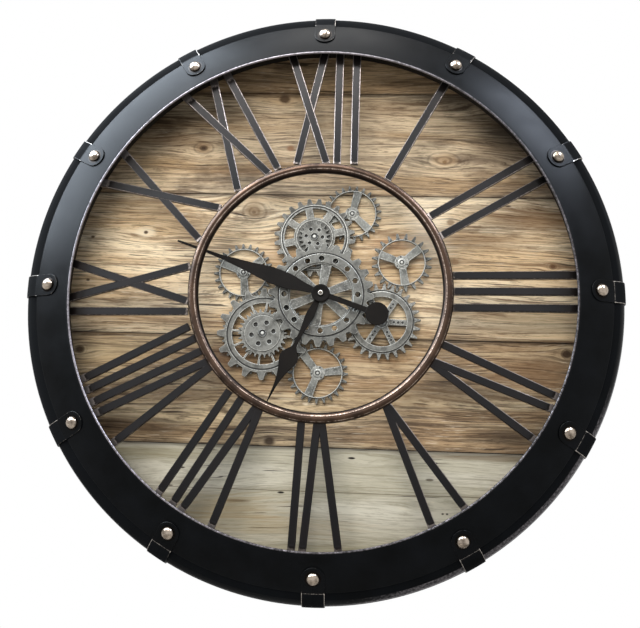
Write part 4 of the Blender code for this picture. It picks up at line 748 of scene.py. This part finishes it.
# Centre gear: a drilled and raised band with coarse teeth, six spokes, a hub on the movement's bush, and
# behind it the fine toothed ring that the pinions of the left and the upper gear drive.
outline = teeth(24, math.radians(12.6), root=47.8, root_width=9.5, tip=54.6, tip_width=4.5, corner=0.7)
band = pierced(inner=33.9, outer=42.6, circle=37.9, hole=2.8, count=16, turn=math.pi / 2, bottom=FRONT,
               top=BAND_TOP)
inner_edge = [(32.0, -3, 0), (32.0, -0.3, 0.5), (32.3, 0, 0.7), (33.2, 0, -0.7), (33.4, 0, -1.0),
              (33.5, 0.5, 0.3), (33.9, 0.8, 1.0), (33.9, -3, 0)]
outer_edge = [(42.6, -3, 0), (42.6, 0.8, 1.0), (43.0, 0.6, 0.8), (43.1, -0.3, -1.3), (44.5, -0.3, -1.3),
              (44.8, 0, 0.3), (45.6, 0, 0), (1.0, 0, 0, True), (0.4, 0, 0.6, True), (0, -0.4, 0.6, True),
              (0, -3, 0, True)]
ring = mesh_teeth(FINE_MODULE, 60, 0.0)
fine_ring = [(41.5, FINE - FRONT, 0), (41.5, -0.05, 0), (0.3, -0.05, 0.4, True), (0, -0.35, 0.4, True),
             (0, FINE - FRONT, 0, True)]
hub = turned([(BUSH_BORE, -12.8, 0), (8.0, -12.8, 0), (8.0, -3.5, 0), (10.5, -3.5, 0), (10.5, -1.5, 0.6),
              (10.1, -1.2, 0.6), (8.2, -1.2, -1.0), (8.0, -0.3, 0.6), (7.7, 0, 0.8), (BUSH_BORE, 0, 0)],
             64, closed=True, level=BAND_TOP)
centre = band + [wheel(outline, inner_edge, FRONT_TOP), wheel(outline, outer_edge, FRONT_TOP),
                 wheel(ring, fine_ring, FRONT), hub]
centre += spokes(6, math.radians(20.5), hub=9.0, rim=33.0, width=(8.0, 11.0), bottom=FRONT + 0.4,
                 top=FRONT + 2.4)
fit(surface("centre_wheel", centre), centre_plate, "centre_gear", "gear_pewter", "centre_gear")

# Left gear: sixteen coarse teeth, a grooved rim on twelve thin spokes, a fine pinion under a drilled cover
# disc, and a toothed ring behind that drives two small wheels.
LEFT_ARBOR = (-59.4436, -40.6258)
outline = teeth(16, 0.0, root=40.5, root_width=8.5, tip=48.0, tip_width=4.5, corner=0.8)
rim = [(32.0, -3, 0), (32.0, -0.3, 0.6), (32.3, 0, 0.9), (33.0, 0, 0.1), (36.3, 0, 0.0), (36.6, -0.4, -1.4),
       (37.7, -0.4, -1.4), (38.0, 0, 0.8), (38.8, 0, 0.1), (1.2, 0, 0.0, True), (0.4, 0, 0.6, True),
       (0, -0.4, 0.6, True), (0, -3, 0, True)]
pinion = [(18.2, -3.3, 0), (18.2, -0.7, -0.8), (19.6, -0.7, -0.4), (0.3, -0.7, 0.5, True),
          (0, -1.0, 0.5, True), (0, -3.3, -0.4, True)]
holes = pierced(inner=4.6, outer=18.1, circle=11.4, hole=2.3, count=6, turn=math.radians(10),
                bottom=PINION_TOP - HOLE_DEPTH, top=PINION_TOP)
lip_ring = turned([(18.1, 0.0, 0.0), (18.2, 0.0, 0.8), (18.45, 0.0, 0.9), (18.7, -0.3, 0.8),
                   (18.7, -1.2, 0.0)], 72, level=PINION_TOP)
floor_disc = turned([(18.2, 0.0, -1.2), (0.0, 0.0, -1.2)], 48, level=PINION_TOP - HOLE_DEPTH + 0.05)
hub_disc = disc(22.2, WHEEL, WHEEL_TOP, 72)
rear = [(33.5, REAR, 0), (33.5, WHEEL, 0), (0, WHEEL, 0, True), (0, REAR, 0, True)]
left = holes + [wheel(outline, rim, WHEEL_TOP),
                wheel(mesh_teeth(FINE_MODULE, 30, 14.4696522), pinion, PINION_TOP),
                wheel(mesh_teeth(REAR_MODULE, 34, 0.0), rear), lip_ring, floor_disc, hub_disc,
                head(PINION_TOP), arbor(WHEEL + 0.4, driven=True)]
left += spokes(12, math.radians(24), hub=21.5, rim=32.6, width=(2.2, 2.2), bottom=WHEEL, top=WHEEL_TOP,
               chamfer=0.3, rub=(1.0, 1.0))
fit(surface("left_wheel", moved(left, LEFT_ARBOR)), plate, "left_gear", "gear_pewter", "left_gear")

# Upper gear: twenty-four teeth, a raised ring on the rim, eight flat spokes, a pinion whose face is a drilled
# boss, and a coarse pinion behind that drives the top small wheel.
UPPER_ARBOR = (-8.3586, 62.6448)
outline = teeth(24, math.radians(9), root=37.0, root_width=6.2, tip=42.7, tip_width=3.2, corner=0.6)
rim = [(31.7, -3, 0), (31.7, -0.3, 0.4), (32.0, 0, 0.6), (33.4, 0, 0), (33.7, -0.2, -1.4),
       (34.5, -0.2, -1.4), (34.7, 0.4, 0.9), (35.5, 0.4, 1.0), (35.7, -0.1, -0.9), (36.1, 0, -0.3),
       (1.0, 0, 0, True), (0.4, 0, 0.5, True), (0, -0.4, 0.5, True), (0, -3, 0, True)]
pinion = [(12.2, -3.3, 0), (12.2, 0, 0), (0.3, 0, 0.2, True), (0, -0.3, 0.2, True), (0, -3.3, 0.0, True)]
rear = [(8.0, REAR, 0), (8.0, WHEEL, 0), (0, WHEEL, 0, True), (0, REAR, 0, True)]
holes = pierced(inner=4.4, outer=12.4, circle=8.6, hole=1.8, count=6, turn=math.radians(-4),
                bottom=PINION_TOP - HOLE_DEPTH, top=PINION_TOP)
floor_disc = turned([(12.3, 0.0, -1.2), (0.0, 0.0, -1.2)], 48, level=PINION_TOP - HOLE_DEPTH + 0.05)
hub_disc = disc(21.8, WHEEL, WHEEL_TOP, 72, rings=((19.0, 0.9, 0.5),))
upper = holes + [wheel(outline, rim, WHEEL_TOP),
                 wheel(mesh_teeth(FINE_MODULE, 19, 10.3896695), pinion, PINION_TOP),
                 wheel(mesh_teeth(REAR_MODULE, 16, 0.0), rear), floor_disc, hub_disc, head(PINION_TOP),
                 arbor(WHEEL + 0.4, driven=False)]
upper += spokes(8, math.radians(12.5), hub=21.0, rim=32.2, width=(8.0, 8.0), bottom=WHEEL,
                top=WHEEL_TOP - 0.2)
fit(surface("upper_wheel", moved(upper, UPPER_ARBOR)), plate, "upper_gear", "gear_pewter", "upper_gear")

# Right gear: a wide raised band inside twenty-six teeth, and six spokes, each with three small drillings.
RIGHT_ARBOR = (62.6867, -26.3511)
rim = [(25.8, -3, 0), (25.8, -0.2, 0.6), (26.1, 0.2, 0.9), (26.8, 0.2, 0.0), (30.6, 0.2, 0.0),
       (31.3, 0.2, 0.9), (31.6, 0, 0.4), (31.8, -0.4, -1.4), (32.6, -0.4, -1.4), (32.8, 0, 0.3),
       (0.4, 0, 0.4, True), (0, -0.4, 0.4, True), (0, -3, 0, True)]
right = [wheel(mesh_teeth(RIGHT_MODULE, 26, math.radians(-80.4)), rim, WHEEL_TOP),
         disc(8.0, WHEEL, WHEEL_TOP + 0.2, 48, rings=((6.4, 0.8, 0.4),)), head(WHEEL_TOP + 0.1),
         arbor(WHEEL + 0.4, driven=True)]
right += spokes(6, math.radians(-3), hub=7.0, rim=26.4, width=(6.2, 6.2), bottom=WHEEL, top=WHEEL_TOP)
for number in range(6):
    angle = math.radians(-3 + 60 * number)
    for radius in (12.45, 16.9, 21.35):
        hole = (radius * math.cos(angle), radius * math.sin(angle))
        right.append(turned([(1.75, -0.1, 0.4), (1.6, 0.08, 0.8), (1.35, 0.08, 0.4), (1.3, 0.03, -1.6),
                             (0.0, 0.03, -1.6)], 16, hole, level=WHEEL_TOP))
fit(surface("right_wheel", moved(right, RIGHT_ARBOR)), plate, "right_gear", "gear_pewter", "right_gear")

# Four small wheels: thin raised rims inside small teeth, three spokes that widen outwards, and a small hub
# with three dimples. Three run behind the other gears, and the right one beside them.
dull_plate = pewter("pewter_plated_zinc_dull", "#70716c", "#474742", "#a6a6a0")
for name, centre, module, count, turn, spoke_turn, bottom, top in (
    ("top_small", (31.0087, 90.1078), REAR_MODULE, 24, 4.2876922, 76, 28.4, 31.2),
    ("left_small", (-82.9055, 24.9006), REAR_MODULE, 24, 7.8995056, 36, 28.4, 31.2),
    ("low_small", (-2.1534, -80.1477), REAR_MODULE, 24, 1.8131062, 8, 28.4, 31.2),
    ("right_small", (83.2321, 36.1381), RIGHT_MODULE, 20, 8.0051271, 39, WHEEL, WHEEL_TOP),
):
    root = module * (count / 2 - 1.25)
    rim = [(root - 1.3, bottom - top, 0), (root - 1.3, 0.1, 0.7), (root - 1.0, 0.5, 1.0),
           (root - 0.45, 0.5, 0.9), (root - 0.25, -0.1, -1.2), (root + 0.2, -0.1, -0.9),
           (0.35, 0, 0.3, True), (0, -0.35, 0.3, True), (0, bottom - top, 0, True)]
    button = turned([(4.4, -0.1, -0.8), (4.2, 0.5, 0.4), (3.6, 0.75, 0.9), (2.4, 0.75, 0.3), (2.1, 0.4, -1.4),
                     (1.5, 0.4, -1.4), (1.3, 0.8, 1.2), (0.0, 0.95, 1.4)], 32, level=top)
    small = [wheel(mesh_teeth(module, count, turn), rim, top), disc(7.5, bottom, top + 0.1, 40),
             arbor(bottom + 0.4, driven=False), button]
    small += spokes(3, math.radians(spoke_turn), hub=6.0, rim=root - 0.9, width=(7.2, 9.0), bottom=bottom,
                    top=top - 0.1)
    for number in range(3):
        angle = math.radians(spoke_turn + 60 + 120 * number)
        dimple = (6.0 * math.cos(angle), 6.0 * math.sin(angle))
        small.append(turned([(0.95, 0.12, 0.3), (0.8, 0.14, -1.6), (0.0, 0.14, -1.6)], 12, dimple, level=top))
    fit(surface(name + "_wheel", moved(small, centre)), dull_plate, name + "_gear", "gear_pewter",
        name + "_gear")


# The inner ring: a round steel bar bent and welded to a hoop, plated, darkened to an antique copper and then
# rubbed back along its two ridges, between which a shallow groove runs. The pale lines along the ridges are
# partly wear and partly painted highlight.

RING_RADIUS = 127.0
RING_BAR = 5.4
BAR_HEIGHT = 66.0         # middle of the ring and of the numerals, over the wall


def copper(name, plate, shade, edge):
    """Antique copper: red-brown metal, clouded over 20 mm. The rub attribute says where it is pink-silver, as
    wear and as painted highlight, and, under zero, where painted shade darkens it."""
    material, tree, shader, place = blank(name)
    rub = add(tree, "Attribute", out="Fac", attribute_name="rub")
    cloud = add(tree, "TexNoise", {"Vector": place, "Scale": 45.0, "Detail": 5.0, "Roughness": 0.6})
    grit = add(tree, "TexNoise", {"Vector": place, "Scale": 520.0, "Detail": 3.0})
    tone = add(tree, "MapRange", {"Value": cloud, "From Min": 0.35, "From Max": 0.65})
    colour = add(tree, "Mix", {0: tone, 6: plate, 7: shade}, data_type="RGBA")
    broken = add(tree, "MapRange", {"Value": grit, "From Min": 0.3, "From Max": 0.7, "To Min": -0.18,
                                    "To Max": 0.18})
    patchy = add(tree, "MapRange", {"Value": cloud, "From Min": 0.35, "From Max": 0.65, "To Min": 0.08,
                                    "To Max": -0.2})
    worn = add(tree, "Math", {0: rub, 1: broken}, operation="ADD")
    worn = add(tree, "Math", {0: worn, 1: patchy}, operation="ADD")
    worn = add(tree, "MapRange", {"Value": worn, "From Min": 0.3, "From Max": 1.0},
               interpolation_type="SMOOTHSTEP")
    # Below zero the rub darkens the metal towards a near-black brown: painted shade on the ring's inner side.
    below_zero = add(tree, "MapRange", {"Value": rub, "From Min": 0.0, "From Max": -1.0, "To Max": 0.85})
    colour = add(tree, "Mix", {0: below_zero, 6: colour, 7: "#120a06"}, data_type="RGBA")
    colour = add(tree, "Mix", {0: worn, 6: colour, 7: edge}, data_type="RGBA")
    rough = add(tree, "MapRange", {"Value": cloud, "From Min": 0.3, "From Max": 0.7, "To Min": 0.26,
                                   "To Max": 0.42})
    bump = add(tree, "Bump", {"Height": grit, "Strength": 0.15, "Distance": 0.0003})
    feed(tree, shader, {"Base Color": colour, "Roughness": rough, "Normal": bump, "Metallic": 0.75})
    return material


# Round the bar's section, 0 degrees is outwards and 90 degrees is the front. Its inner side is darkened as
# painted shade.
angle = np.linspace(0, 2 * math.pi, 48, endpoint=False)
degrees = np.degrees(angle)
groove = 0.35 * np.exp(-((degrees - 100) / 6) ** 2)
wear_highlight_and_shade = 0.8 * np.exp(-((degrees - 114) / 7) ** 2) + 0.7 * np.exp(-((degrees - 50) / 7) ** 2)
wear_highlight_and_shade -= np.clip((degrees - 122) / 14, 0, 1) * (angle < 4.5)
section = RING_BAR - 0.02 - groove
profile = np.stack([RING_RADIUS + section * np.cos(angle), BAR_HEIGHT + section * np.sin(angle), wear_highlight_and_shade],
                   axis=-1)
hoop = surface("hoop", [turned(profile, 240, closed=True)], 80)
fit(hoop, copper("antique_copper", "#4b382b", "#26190f", "#cbb8aa"), "clock_case", "ring_bronze",
    "inner_ring")


# The numerals: roman figures of flat steel bar, cut to length, ground and welded to the ring and to the
# case's flange. They are blackened, and their long edges and some of their welded ends are rubbed bright,
# partly wear and partly painted highlight.

BAR_WIDTH = 8.8           # the unit of the offsets below; the bars themselves are cut a little narrower
BAR_THICKNESS = 4.0
BAR_CHAMFER = 0.4
RING_WELD = 1.4           # how far a bar reaches into the ring and into the case's flange
CASE_WELD = 0.6
# For some hours, how far the inner and the outer ends and the right and the left edges are rubbed bright:
# partly wear and partly painted highlight, as on the upper right edges of the 4 and the 5 and the outer ends
# of the 10 and the 11.
BRIGHT_INNER_ENDS = {1: 0.65, 2: 0.95, 3: 0.5, 9: 0.6, 10: 0.75, 11: 0.6, 12: 0.6}
BRIGHT_OUTER_ENDS = {4: 0.85, 5: 0.8, 6: 0.6, 7: 0.9, 8: 0.95, 10: 0.8, 11: 0.85}
BRIGHT_EDGES = {3: (0.5, 0.7), 4: (0.3, 0.95), 5: (0.3, 0.9)}
# For each hour its welded pieces, and for each bar of a piece how far clockwise its outer and inner end are.
STROKES = {
    1: [[(-0.05, 0.05)]],
    2: [[(-1.5, -1.25)], [(1.35, 1.35)]],
    3: [[(-1.9, -1.7)], [(0.0, 0.1)], [(1.9, 1.95)]],
    4: [[(-2.95, -1.6)], [(-1.55, 0.6), (2.45, 0.85)]],
    5: [[(-2.05, -0.2), (2.1, -0.05)]],
    6: [[(-2.65, -0.55), (1.3, -0.05)], [(2.45, 1.7)]],
    7: [[(-3.6, -1.3), (0.25, -0.85)], [(1.4, 1.05)], [(3.35, 2.65)]],
    8: [[(-4.15, -1.75), (-0.15, -1.1)], [(1.15, 0.3)], [(2.65, 1.9)], [(4.05, 3.45)]],
    9: [[(-2.9, -2.75)], [(-1.4, 2.55), (2.8, -1.6)]],
    10: [[(-2.15, 2.35), (2.3, -2.1)]],
    11: [[(-2.7, 1.5), (1.25, -2.7)], [(3.0, 2.65)]],
    12: [[(-3.9, 0.5), (0.05, -3.0)], [(1.85, 1.7)], [(3.9, 3.7)]],
}


def hour_angle(hour):
    """Angle of an hour on the dial, anticlockwise from the right."""
    return math.pi / 2 - 2 * math.pi * hour / 12


blackened = enamel("blackened_steel_bar", "#0b0908", "#161110", "#a79d98", 0.31, 0.16, 0.16)
for hour, pieces in STROKES.items():
    turn = hour_angle(hour)
    outward = np.array([math.cos(turn), math.sin(turn)])
    clockwise = np.array([math.sin(turn), -math.cos(turn)])
    for number, pairs in enumerate(pieces):
        bars = []
        for order, (outer, inner) in enumerate(pairs):
            start = outward * (RING_RADIUS + RING_BAR - RING_WELD) + clockwise * inner * BAR_WIDTH
            end = outward * (OPENING - 0.5) + clockwise * outer * BAR_WIDTH
            away = end / np.linalg.norm(end) * (OPENING + CASE_WELD)
            middle = BAR_HEIGHT - 0.05 * order
            width = (7.5, 8.0 + 0.7 * outward[1])
            # Both long edges are brighter on the upper bars and darker on the lower ones: painted highlight
            # over their wear.
            both = 0.58 + 0.27 * outward[1]
            ends = (BRIGHT_INNER_ENDS.get(hour, 0.1), BRIGHT_OUTER_ENDS.get(hour, 0.1))
            laid, rub, *closed = bar(start, away, width, middle - BAR_THICKNESS / 2,
                                     middle + BAR_THICKNESS / 2, BAR_CHAMFER,
                                     BRIGHT_EDGES.get(hour, (both, both)), ends, end_length=(1.8, 7.0))
            # Soot lies on the front of a bar, most by the ring and, on the upper bars, least by the case.
            rub[3, 3:5] = -0.7
            rub[4, 3:5] = min(0.3, outward[1] * 0.8 - 0.3)
            bars.append((laid, rub, *closed))
        node = f"numeral_{hour:02d}_{chr(ord('a') + number)}"
        fit(surface(node.replace("numeral", "figure"), bars), blackened, "clock_case", "numeral_steel", node)


# The straps: twelve bent sheet straps over the face and the shoulder, one at each hour, with a round inner
# end and worn edges, partly painted highlight, each held by one domed rivet of nickel-plated brass in a
# dimple darkened as painted shade.

STRAP_WIDTH = 21.5
STRAP_LIFT = 0.2          # over the enamel
STRAP_SHEET = 1.1
RIVET_CIRCLE = 271.6
RIVET_RADIUS = 6.2
RIVET_RISE = 4.7
DIMPLE_RADIUS = 7.6
STRAP_FOOT = 48.2         # height over the wall where it ends
CREASE = 15.6             # along the strap from its rivet, where it bends over the shoulder


def bent_path():
    """Line of the strap over the case: distance along it from the rivet, radius, height and the outward
    normal there, down the face, round the shoulder and down the side."""
    meets = shoulder_radius + SHOULDER * math.sin(FACE_TILT)
    face = np.linspace(RIVET_CIRCLE - 12, meets, 12, endpoint=False)
    line = [(radius, face_height(radius), 90 - slope) for radius in face]
    for tilt in np.linspace(90 - slope, 0, 14):
        line.append((shoulder_radius + SHOULDER * math.cos(math.radians(tilt)),
                     shoulder_height + SHOULDER * math.sin(math.radians(tilt)), tilt))
    line += [(CASE_RADIUS, height, 0.0) for height in np.linspace(shoulder_height, STRAP_FOOT, 5)[1:]]
    line = np.array(line)
    run = np.concatenate([[0.0], np.cumsum(np.hypot(*np.diff(line[:, :2], axis=0).T))])
    run -= np.interp(RIVET_CIRCLE, line[:12, 0], run[:12])
    return run, line


def strap_patch(hour):
    """Strap as loops of a shrinking outline: a half circle round the rivet, then two straight sides. Every
    point, at a distance along and across, is laid on the bent line, across as an arc round the clock."""
    run, line = bent_path()
    turn = hour_angle(hour)
    straight = np.linspace(0, run[-1], 40)
    rows = []
    for inset, lift, rub in ((0.0, 0.0, 0.3), (0.0, STRAP_SHEET - 0.25, 0.75), (0.25, STRAP_SHEET, 0.95),
                             (0.55, STRAP_SHEET, 0.8), (0.95, STRAP_SHEET, 0.0), (3.0, STRAP_SHEET, 0.0),
                             (6.0, STRAP_SHEET, 0.0), (8.5, STRAP_SHEET, 0.0), (10.7, STRAP_SHEET, 0.0)):
        half = STRAP_WIDTH / 2 - inset
        bow = np.linspace(math.pi / 2, 3 * math.pi / 2, 25)
        along = np.concatenate([straight[:0:-1], half * np.cos(bow), straight[1:]])
        across = np.concatenate([np.full(39, half), half * np.sin(bow), np.full(39, -half)])
        radius, height, tilt = (np.interp(along, run, line[:, column]) for column in range(3))
        tilt = np.radians(tilt)
        rise = STRAP_LIFT + lift
        reach = radius + rise * np.cos(tilt)
        angle = turn + across / radius
        points = np.stack([reach * np.cos(angle), reach * np.sin(angle), height + rise * np.sin(tilt)],
                          axis=-1)
        # The edges are rubbed most past the crease, but for the upper edge of the straps of the upper hours,
        # and the flat edges of the left hours are brighter: the edges are partly wear and partly painted
        # highlight. Dirt lies on the flat past the crease, and the crease and the end are rubbed too; the
        # crease is brightest on the lower right straps, partly painted highlight.
        flat_edge_wear_and_highlight = 0.5 if hour > 7 else 0.38
        bent_edge_wear_and_highlight = np.where((across > 0) & (abs(hour - 4.5) > 2), 0.5, 0.85)
        wear = rub * np.where(along < CREASE - 0.6, flat_edge_wear_and_highlight, bent_edge_wear_and_highlight)
        wear -= (along > CREASE + 0.4) * (rub == 0) * 0.8
        if lift == STRAP_SHEET:
            wear += (0.85 if 3 <= hour <= 7 else 0.35) * np.exp(-((along - CREASE) / 0.7) ** 2)
        wear = np.where((run[-1] - along < 0.9) & (lift > 0), np.maximum(wear, 0.8), wear)
        rows.append((points, wear))
    return np.array([row[0] for row in rows]), np.array([row[1] for row in rows]), False, False


def nickel(name):
    """Nickel-plated brass: a faintly warm bright metal, tarnished over 5 mm and darkened where shade is
    painted.
    """
    material, tree, shader, place = blank(name)
    rub = add(tree, "Attribute", out="Fac", attribute_name="rub")
    tarnish = add(tree, "TexNoise", {"Vector": place, "Scale": 210.0, "Detail": 4.0})
    tone = add(tree, "MapRange", {"Value": tarnish, "From Min": 0.4, "From Max": 0.65})
    colour = add(tree, "Mix", {0: tone, 6: "#ab9e90", 7: "#655a4f"}, data_type="RGBA")
    painted_shade = add(tree, "MapRange", {"Value": rub, "From Min": 0.0, "From Max": -1.0})
    colour = add(tree, "Mix", {0: painted_shade, 6: colour, 7: "#120f0d"}, data_type="RGBA")
    rough = add(tree, "MapRange", {"Value": tarnish, "From Min": 0.3, "From Max": 0.7, "To Min": 0.12,
                                   "To Max": 0.28})
    feed(tree, shader, {"Base Color": colour, "Roughness": rough, "Metallic": 0.95})
    return material


strap_enamel = enamel("black_strap_worn_and_highlit", "#040506", "#0a0c0f", "#a8a19a", 0.34, 0.06, 0.2)
rivet_nickel = nickel("nickel_plated_brass")
for hour in range(1, 13):
    turn = hour_angle(hour)
    fit(surface(f"band_{hour:02d}", [strap_patch(hour)]), strap_enamel, "clock_case", "strap_steel",
        f"strap_{hour:02d}")
    # The dimple round the rivet and the foot of its dome are darkened as painted shade.
    profile = [(DIMPLE_RADIUS, 0.02, -1.0), (RIVET_RADIUS + 0.5, 0.05, -1.0), (RIVET_RADIUS, 0.15, -1.0)]
    for angle in np.linspace(0, math.pi / 2, 12):
        profile.append((RIVET_RADIUS * math.cos(angle), 0.2 + RIVET_RISE * math.sin(angle),
                        min(0.0, angle * 1.7 - 1.0)))
    points, rub, rows, columns = turned(profile, 40)
    # The rivet stands square to the sloping face: its axis leans outwards by the face's tilt.
    outwards, aside, rise = np.moveaxis(points, -1, 0)
    rise = rise + STRAP_LIFT + STRAP_SHEET
    reach = RIVET_CIRCLE + outwards * math.cos(FACE_TILT) + rise * math.sin(FACE_TILT)
    height = face_height(RIVET_CIRCLE) + rise * math.cos(FACE_TILT) - outwards * math.sin(FACE_TILT)
    laid = np.stack([reach * math.cos(turn) - aside * math.sin(turn),
                     reach * math.sin(turn) + aside * math.cos(turn), height], axis=-1)
    fit(surface(f"rivet_{hour:02d}", [(laid, rub, rows, columns)], 60), rivet_nickel, "clock_case",
        "strap_steel")


# The hands: stamped from 1 mm sheet steel, painted a brown-black and pressed on brass pipes. The minute hand
# has a round counterweight. A small bright nut holds them.

HOUR_TURN = math.radians(204.9)       # clockwise from twelve
MINUTE_TURN = math.radians(289.8)
HOUR_BLADE = 44.9         # undersides of the two blades, over the wall
MINUTE_BLADE = 47.45
BLADE = 1.0
MOVEMENT = 10.0           # where the pipe and the shaft of the hands end, over the wall
WEIGHT_REACH = 61.0       # from the middle of the dial to the counterweight's
HOUR_SHAPE = ((5, 2.65), (7.3, 2.65), (25.5, 4.5), (45, 2.15), (60.8, 2.06), (65, 5.4), (70, 9.5),
              (73.6, 9.8), (77.8, 9.0), (85, 5.9), (93.6, 3.3), (103.4, 1.7), (121.6, 0.5))
MINUTE_SHAPE = ((6, 2.6), (8, 3.2), (20, 4.9), (32, 7.6), (41.6, 8.5), (56, 8.5), (68.8, 6.8), (80, 5.2),
                (92.8, 3.9), (110.4, 2.15), (124.8, 1.6), (140, 1.35), (157, 1.2), (160, 0.8))


def leaf(shape, turn, bottom):
    """Flat blade along a clock angle. Its half width runs through the stations, eased by a moving mean, and
    its section has blunted edges."""
    station = np.linspace(shape[0][0], shape[-1][0], 150)
    half = np.interp(station, *np.array(shape).T)
    window = 7
    padded = np.pad(half, window // 2, mode="edge")
    half = np.convolve(padded, np.ones(window) / window, mode="valid")
    side = np.array([-1.0, -1, -1, -0.4, 0.4, 1, 1, 1])
    inset = np.array([0.0, 0, 0.25, 0, 0, 0.25, 0, 0])
    width = side * np.maximum(half[:, None] - inset, 0.1)
    height = np.broadcast_to(bottom + BLADE * np.array([0, 0.75, 1.0, 1.0, 1.0, 1.0, 0.75, 0.0]), width.shape)
    along = np.array([math.sin(turn), math.cos(turn)])
    aside = np.array([math.cos(turn), -math.sin(turn)])
    flat = along * station[:, None, None] + aside * width[:, :, None]
    rub = np.broadcast_to([0, 0.15, 0.2, 0, 0, 0.2, 0.15, 0], width.shape)
    points = np.concatenate([flat, height[:, :, None]], axis=-1)
    ends = points[[0, -1]].mean(axis=1, keepdims=True).repeat(8, axis=1)
    points = np.concatenate([ends[:1], points, ends[1:]])
    return points, np.concatenate([rub[:1], rub, rub[-1:]]), False, True


def boss(radius, bottom, top, centre=(0.0, 0.0), dish=0.0):
    """Round boss with blunted edges and, where asked, a face dished towards the middle."""
    return turned([(0, bottom, 0), (radius - 0.3, bottom, 0), (radius, bottom + 0.3, 0),
                   (radius, top - 0.4, 0.2), (radius - 0.4, top, 0.3), (radius * 0.6, top, 0.0),
                   (radius * 0.45, top - dish, 0.0), (0, top - dish, 0)], 64, centre)


painted = enamel("brown_black_paint", "#0d0a08", "#15110d", "#5d554d", 0.5, 0.07, 0.2)
pipe = turned([(1.6, MOVEMENT, 0), (2.5, MOVEMENT, 0), (2.5, 44.6, 0), (1.6, 44.6, 0)], 32, closed=True)
hour = [leaf(HOUR_SHAPE, HOUR_TURN, HOUR_BLADE), boss(7.8, HOUR_BLADE - 0.6, HOUR_BLADE + 1.6), pipe]
fit(surface("hour_pointer", hour), painted, "hour_hand", "hand_black", "hour_hand")
along = np.array([math.sin(MINUTE_TURN), math.cos(MINUTE_TURN)])
tail = bar(-5.0 * along, (3.0 - WEIGHT_REACH) * along, (5.5, 5.5), MINUTE_BLADE, MINUTE_BLADE + BLADE, 0.25,
           (0.2, 0.2))
weight = boss(11.8, MINUTE_BLADE - 0.4, MINUTE_BLADE + 1.4, tuple(-WEIGHT_REACH * along))
shaft = turned([(0, MOVEMENT, 0), (1.45, MOVEMENT, 0), (1.45, 47.2, 0), (0, 47.2, 0)], 24)
stud = turned([(0, 48, 1), (1.15, 48, 1), (1.15, 51.1, 1), (0.9, 51.3, 1), (0, 51.3, 1)], 24)
minute = [leaf(MINUTE_SHAPE, MINUTE_TURN, MINUTE_BLADE),
          boss(9.3, MINUTE_BLADE - 0.55, MINUTE_BLADE + 1.55, dish=0.4), tail, weight, shaft, stud]
fit(surface("minute_pointer", minute), painted, "minute_hand", "hand_black", "minute_hand")
nut = turned([(1.55, 49.3, 0), (2.6, 49.3, 0), (2.6, 50.8, 0), (2.25, 51.2, 0), (1.8, 51.3, 0),
              (1.55, 51.0, -0.6)], 32, closed=True)
nut_steel = plated("bright_steel_nut", "#e6e2da", "#c9c5bd", 0.3)
fit(surface("bright_nut", [nut]), nut_steel, "minute_hand", "bright_steel", "hand_nut")
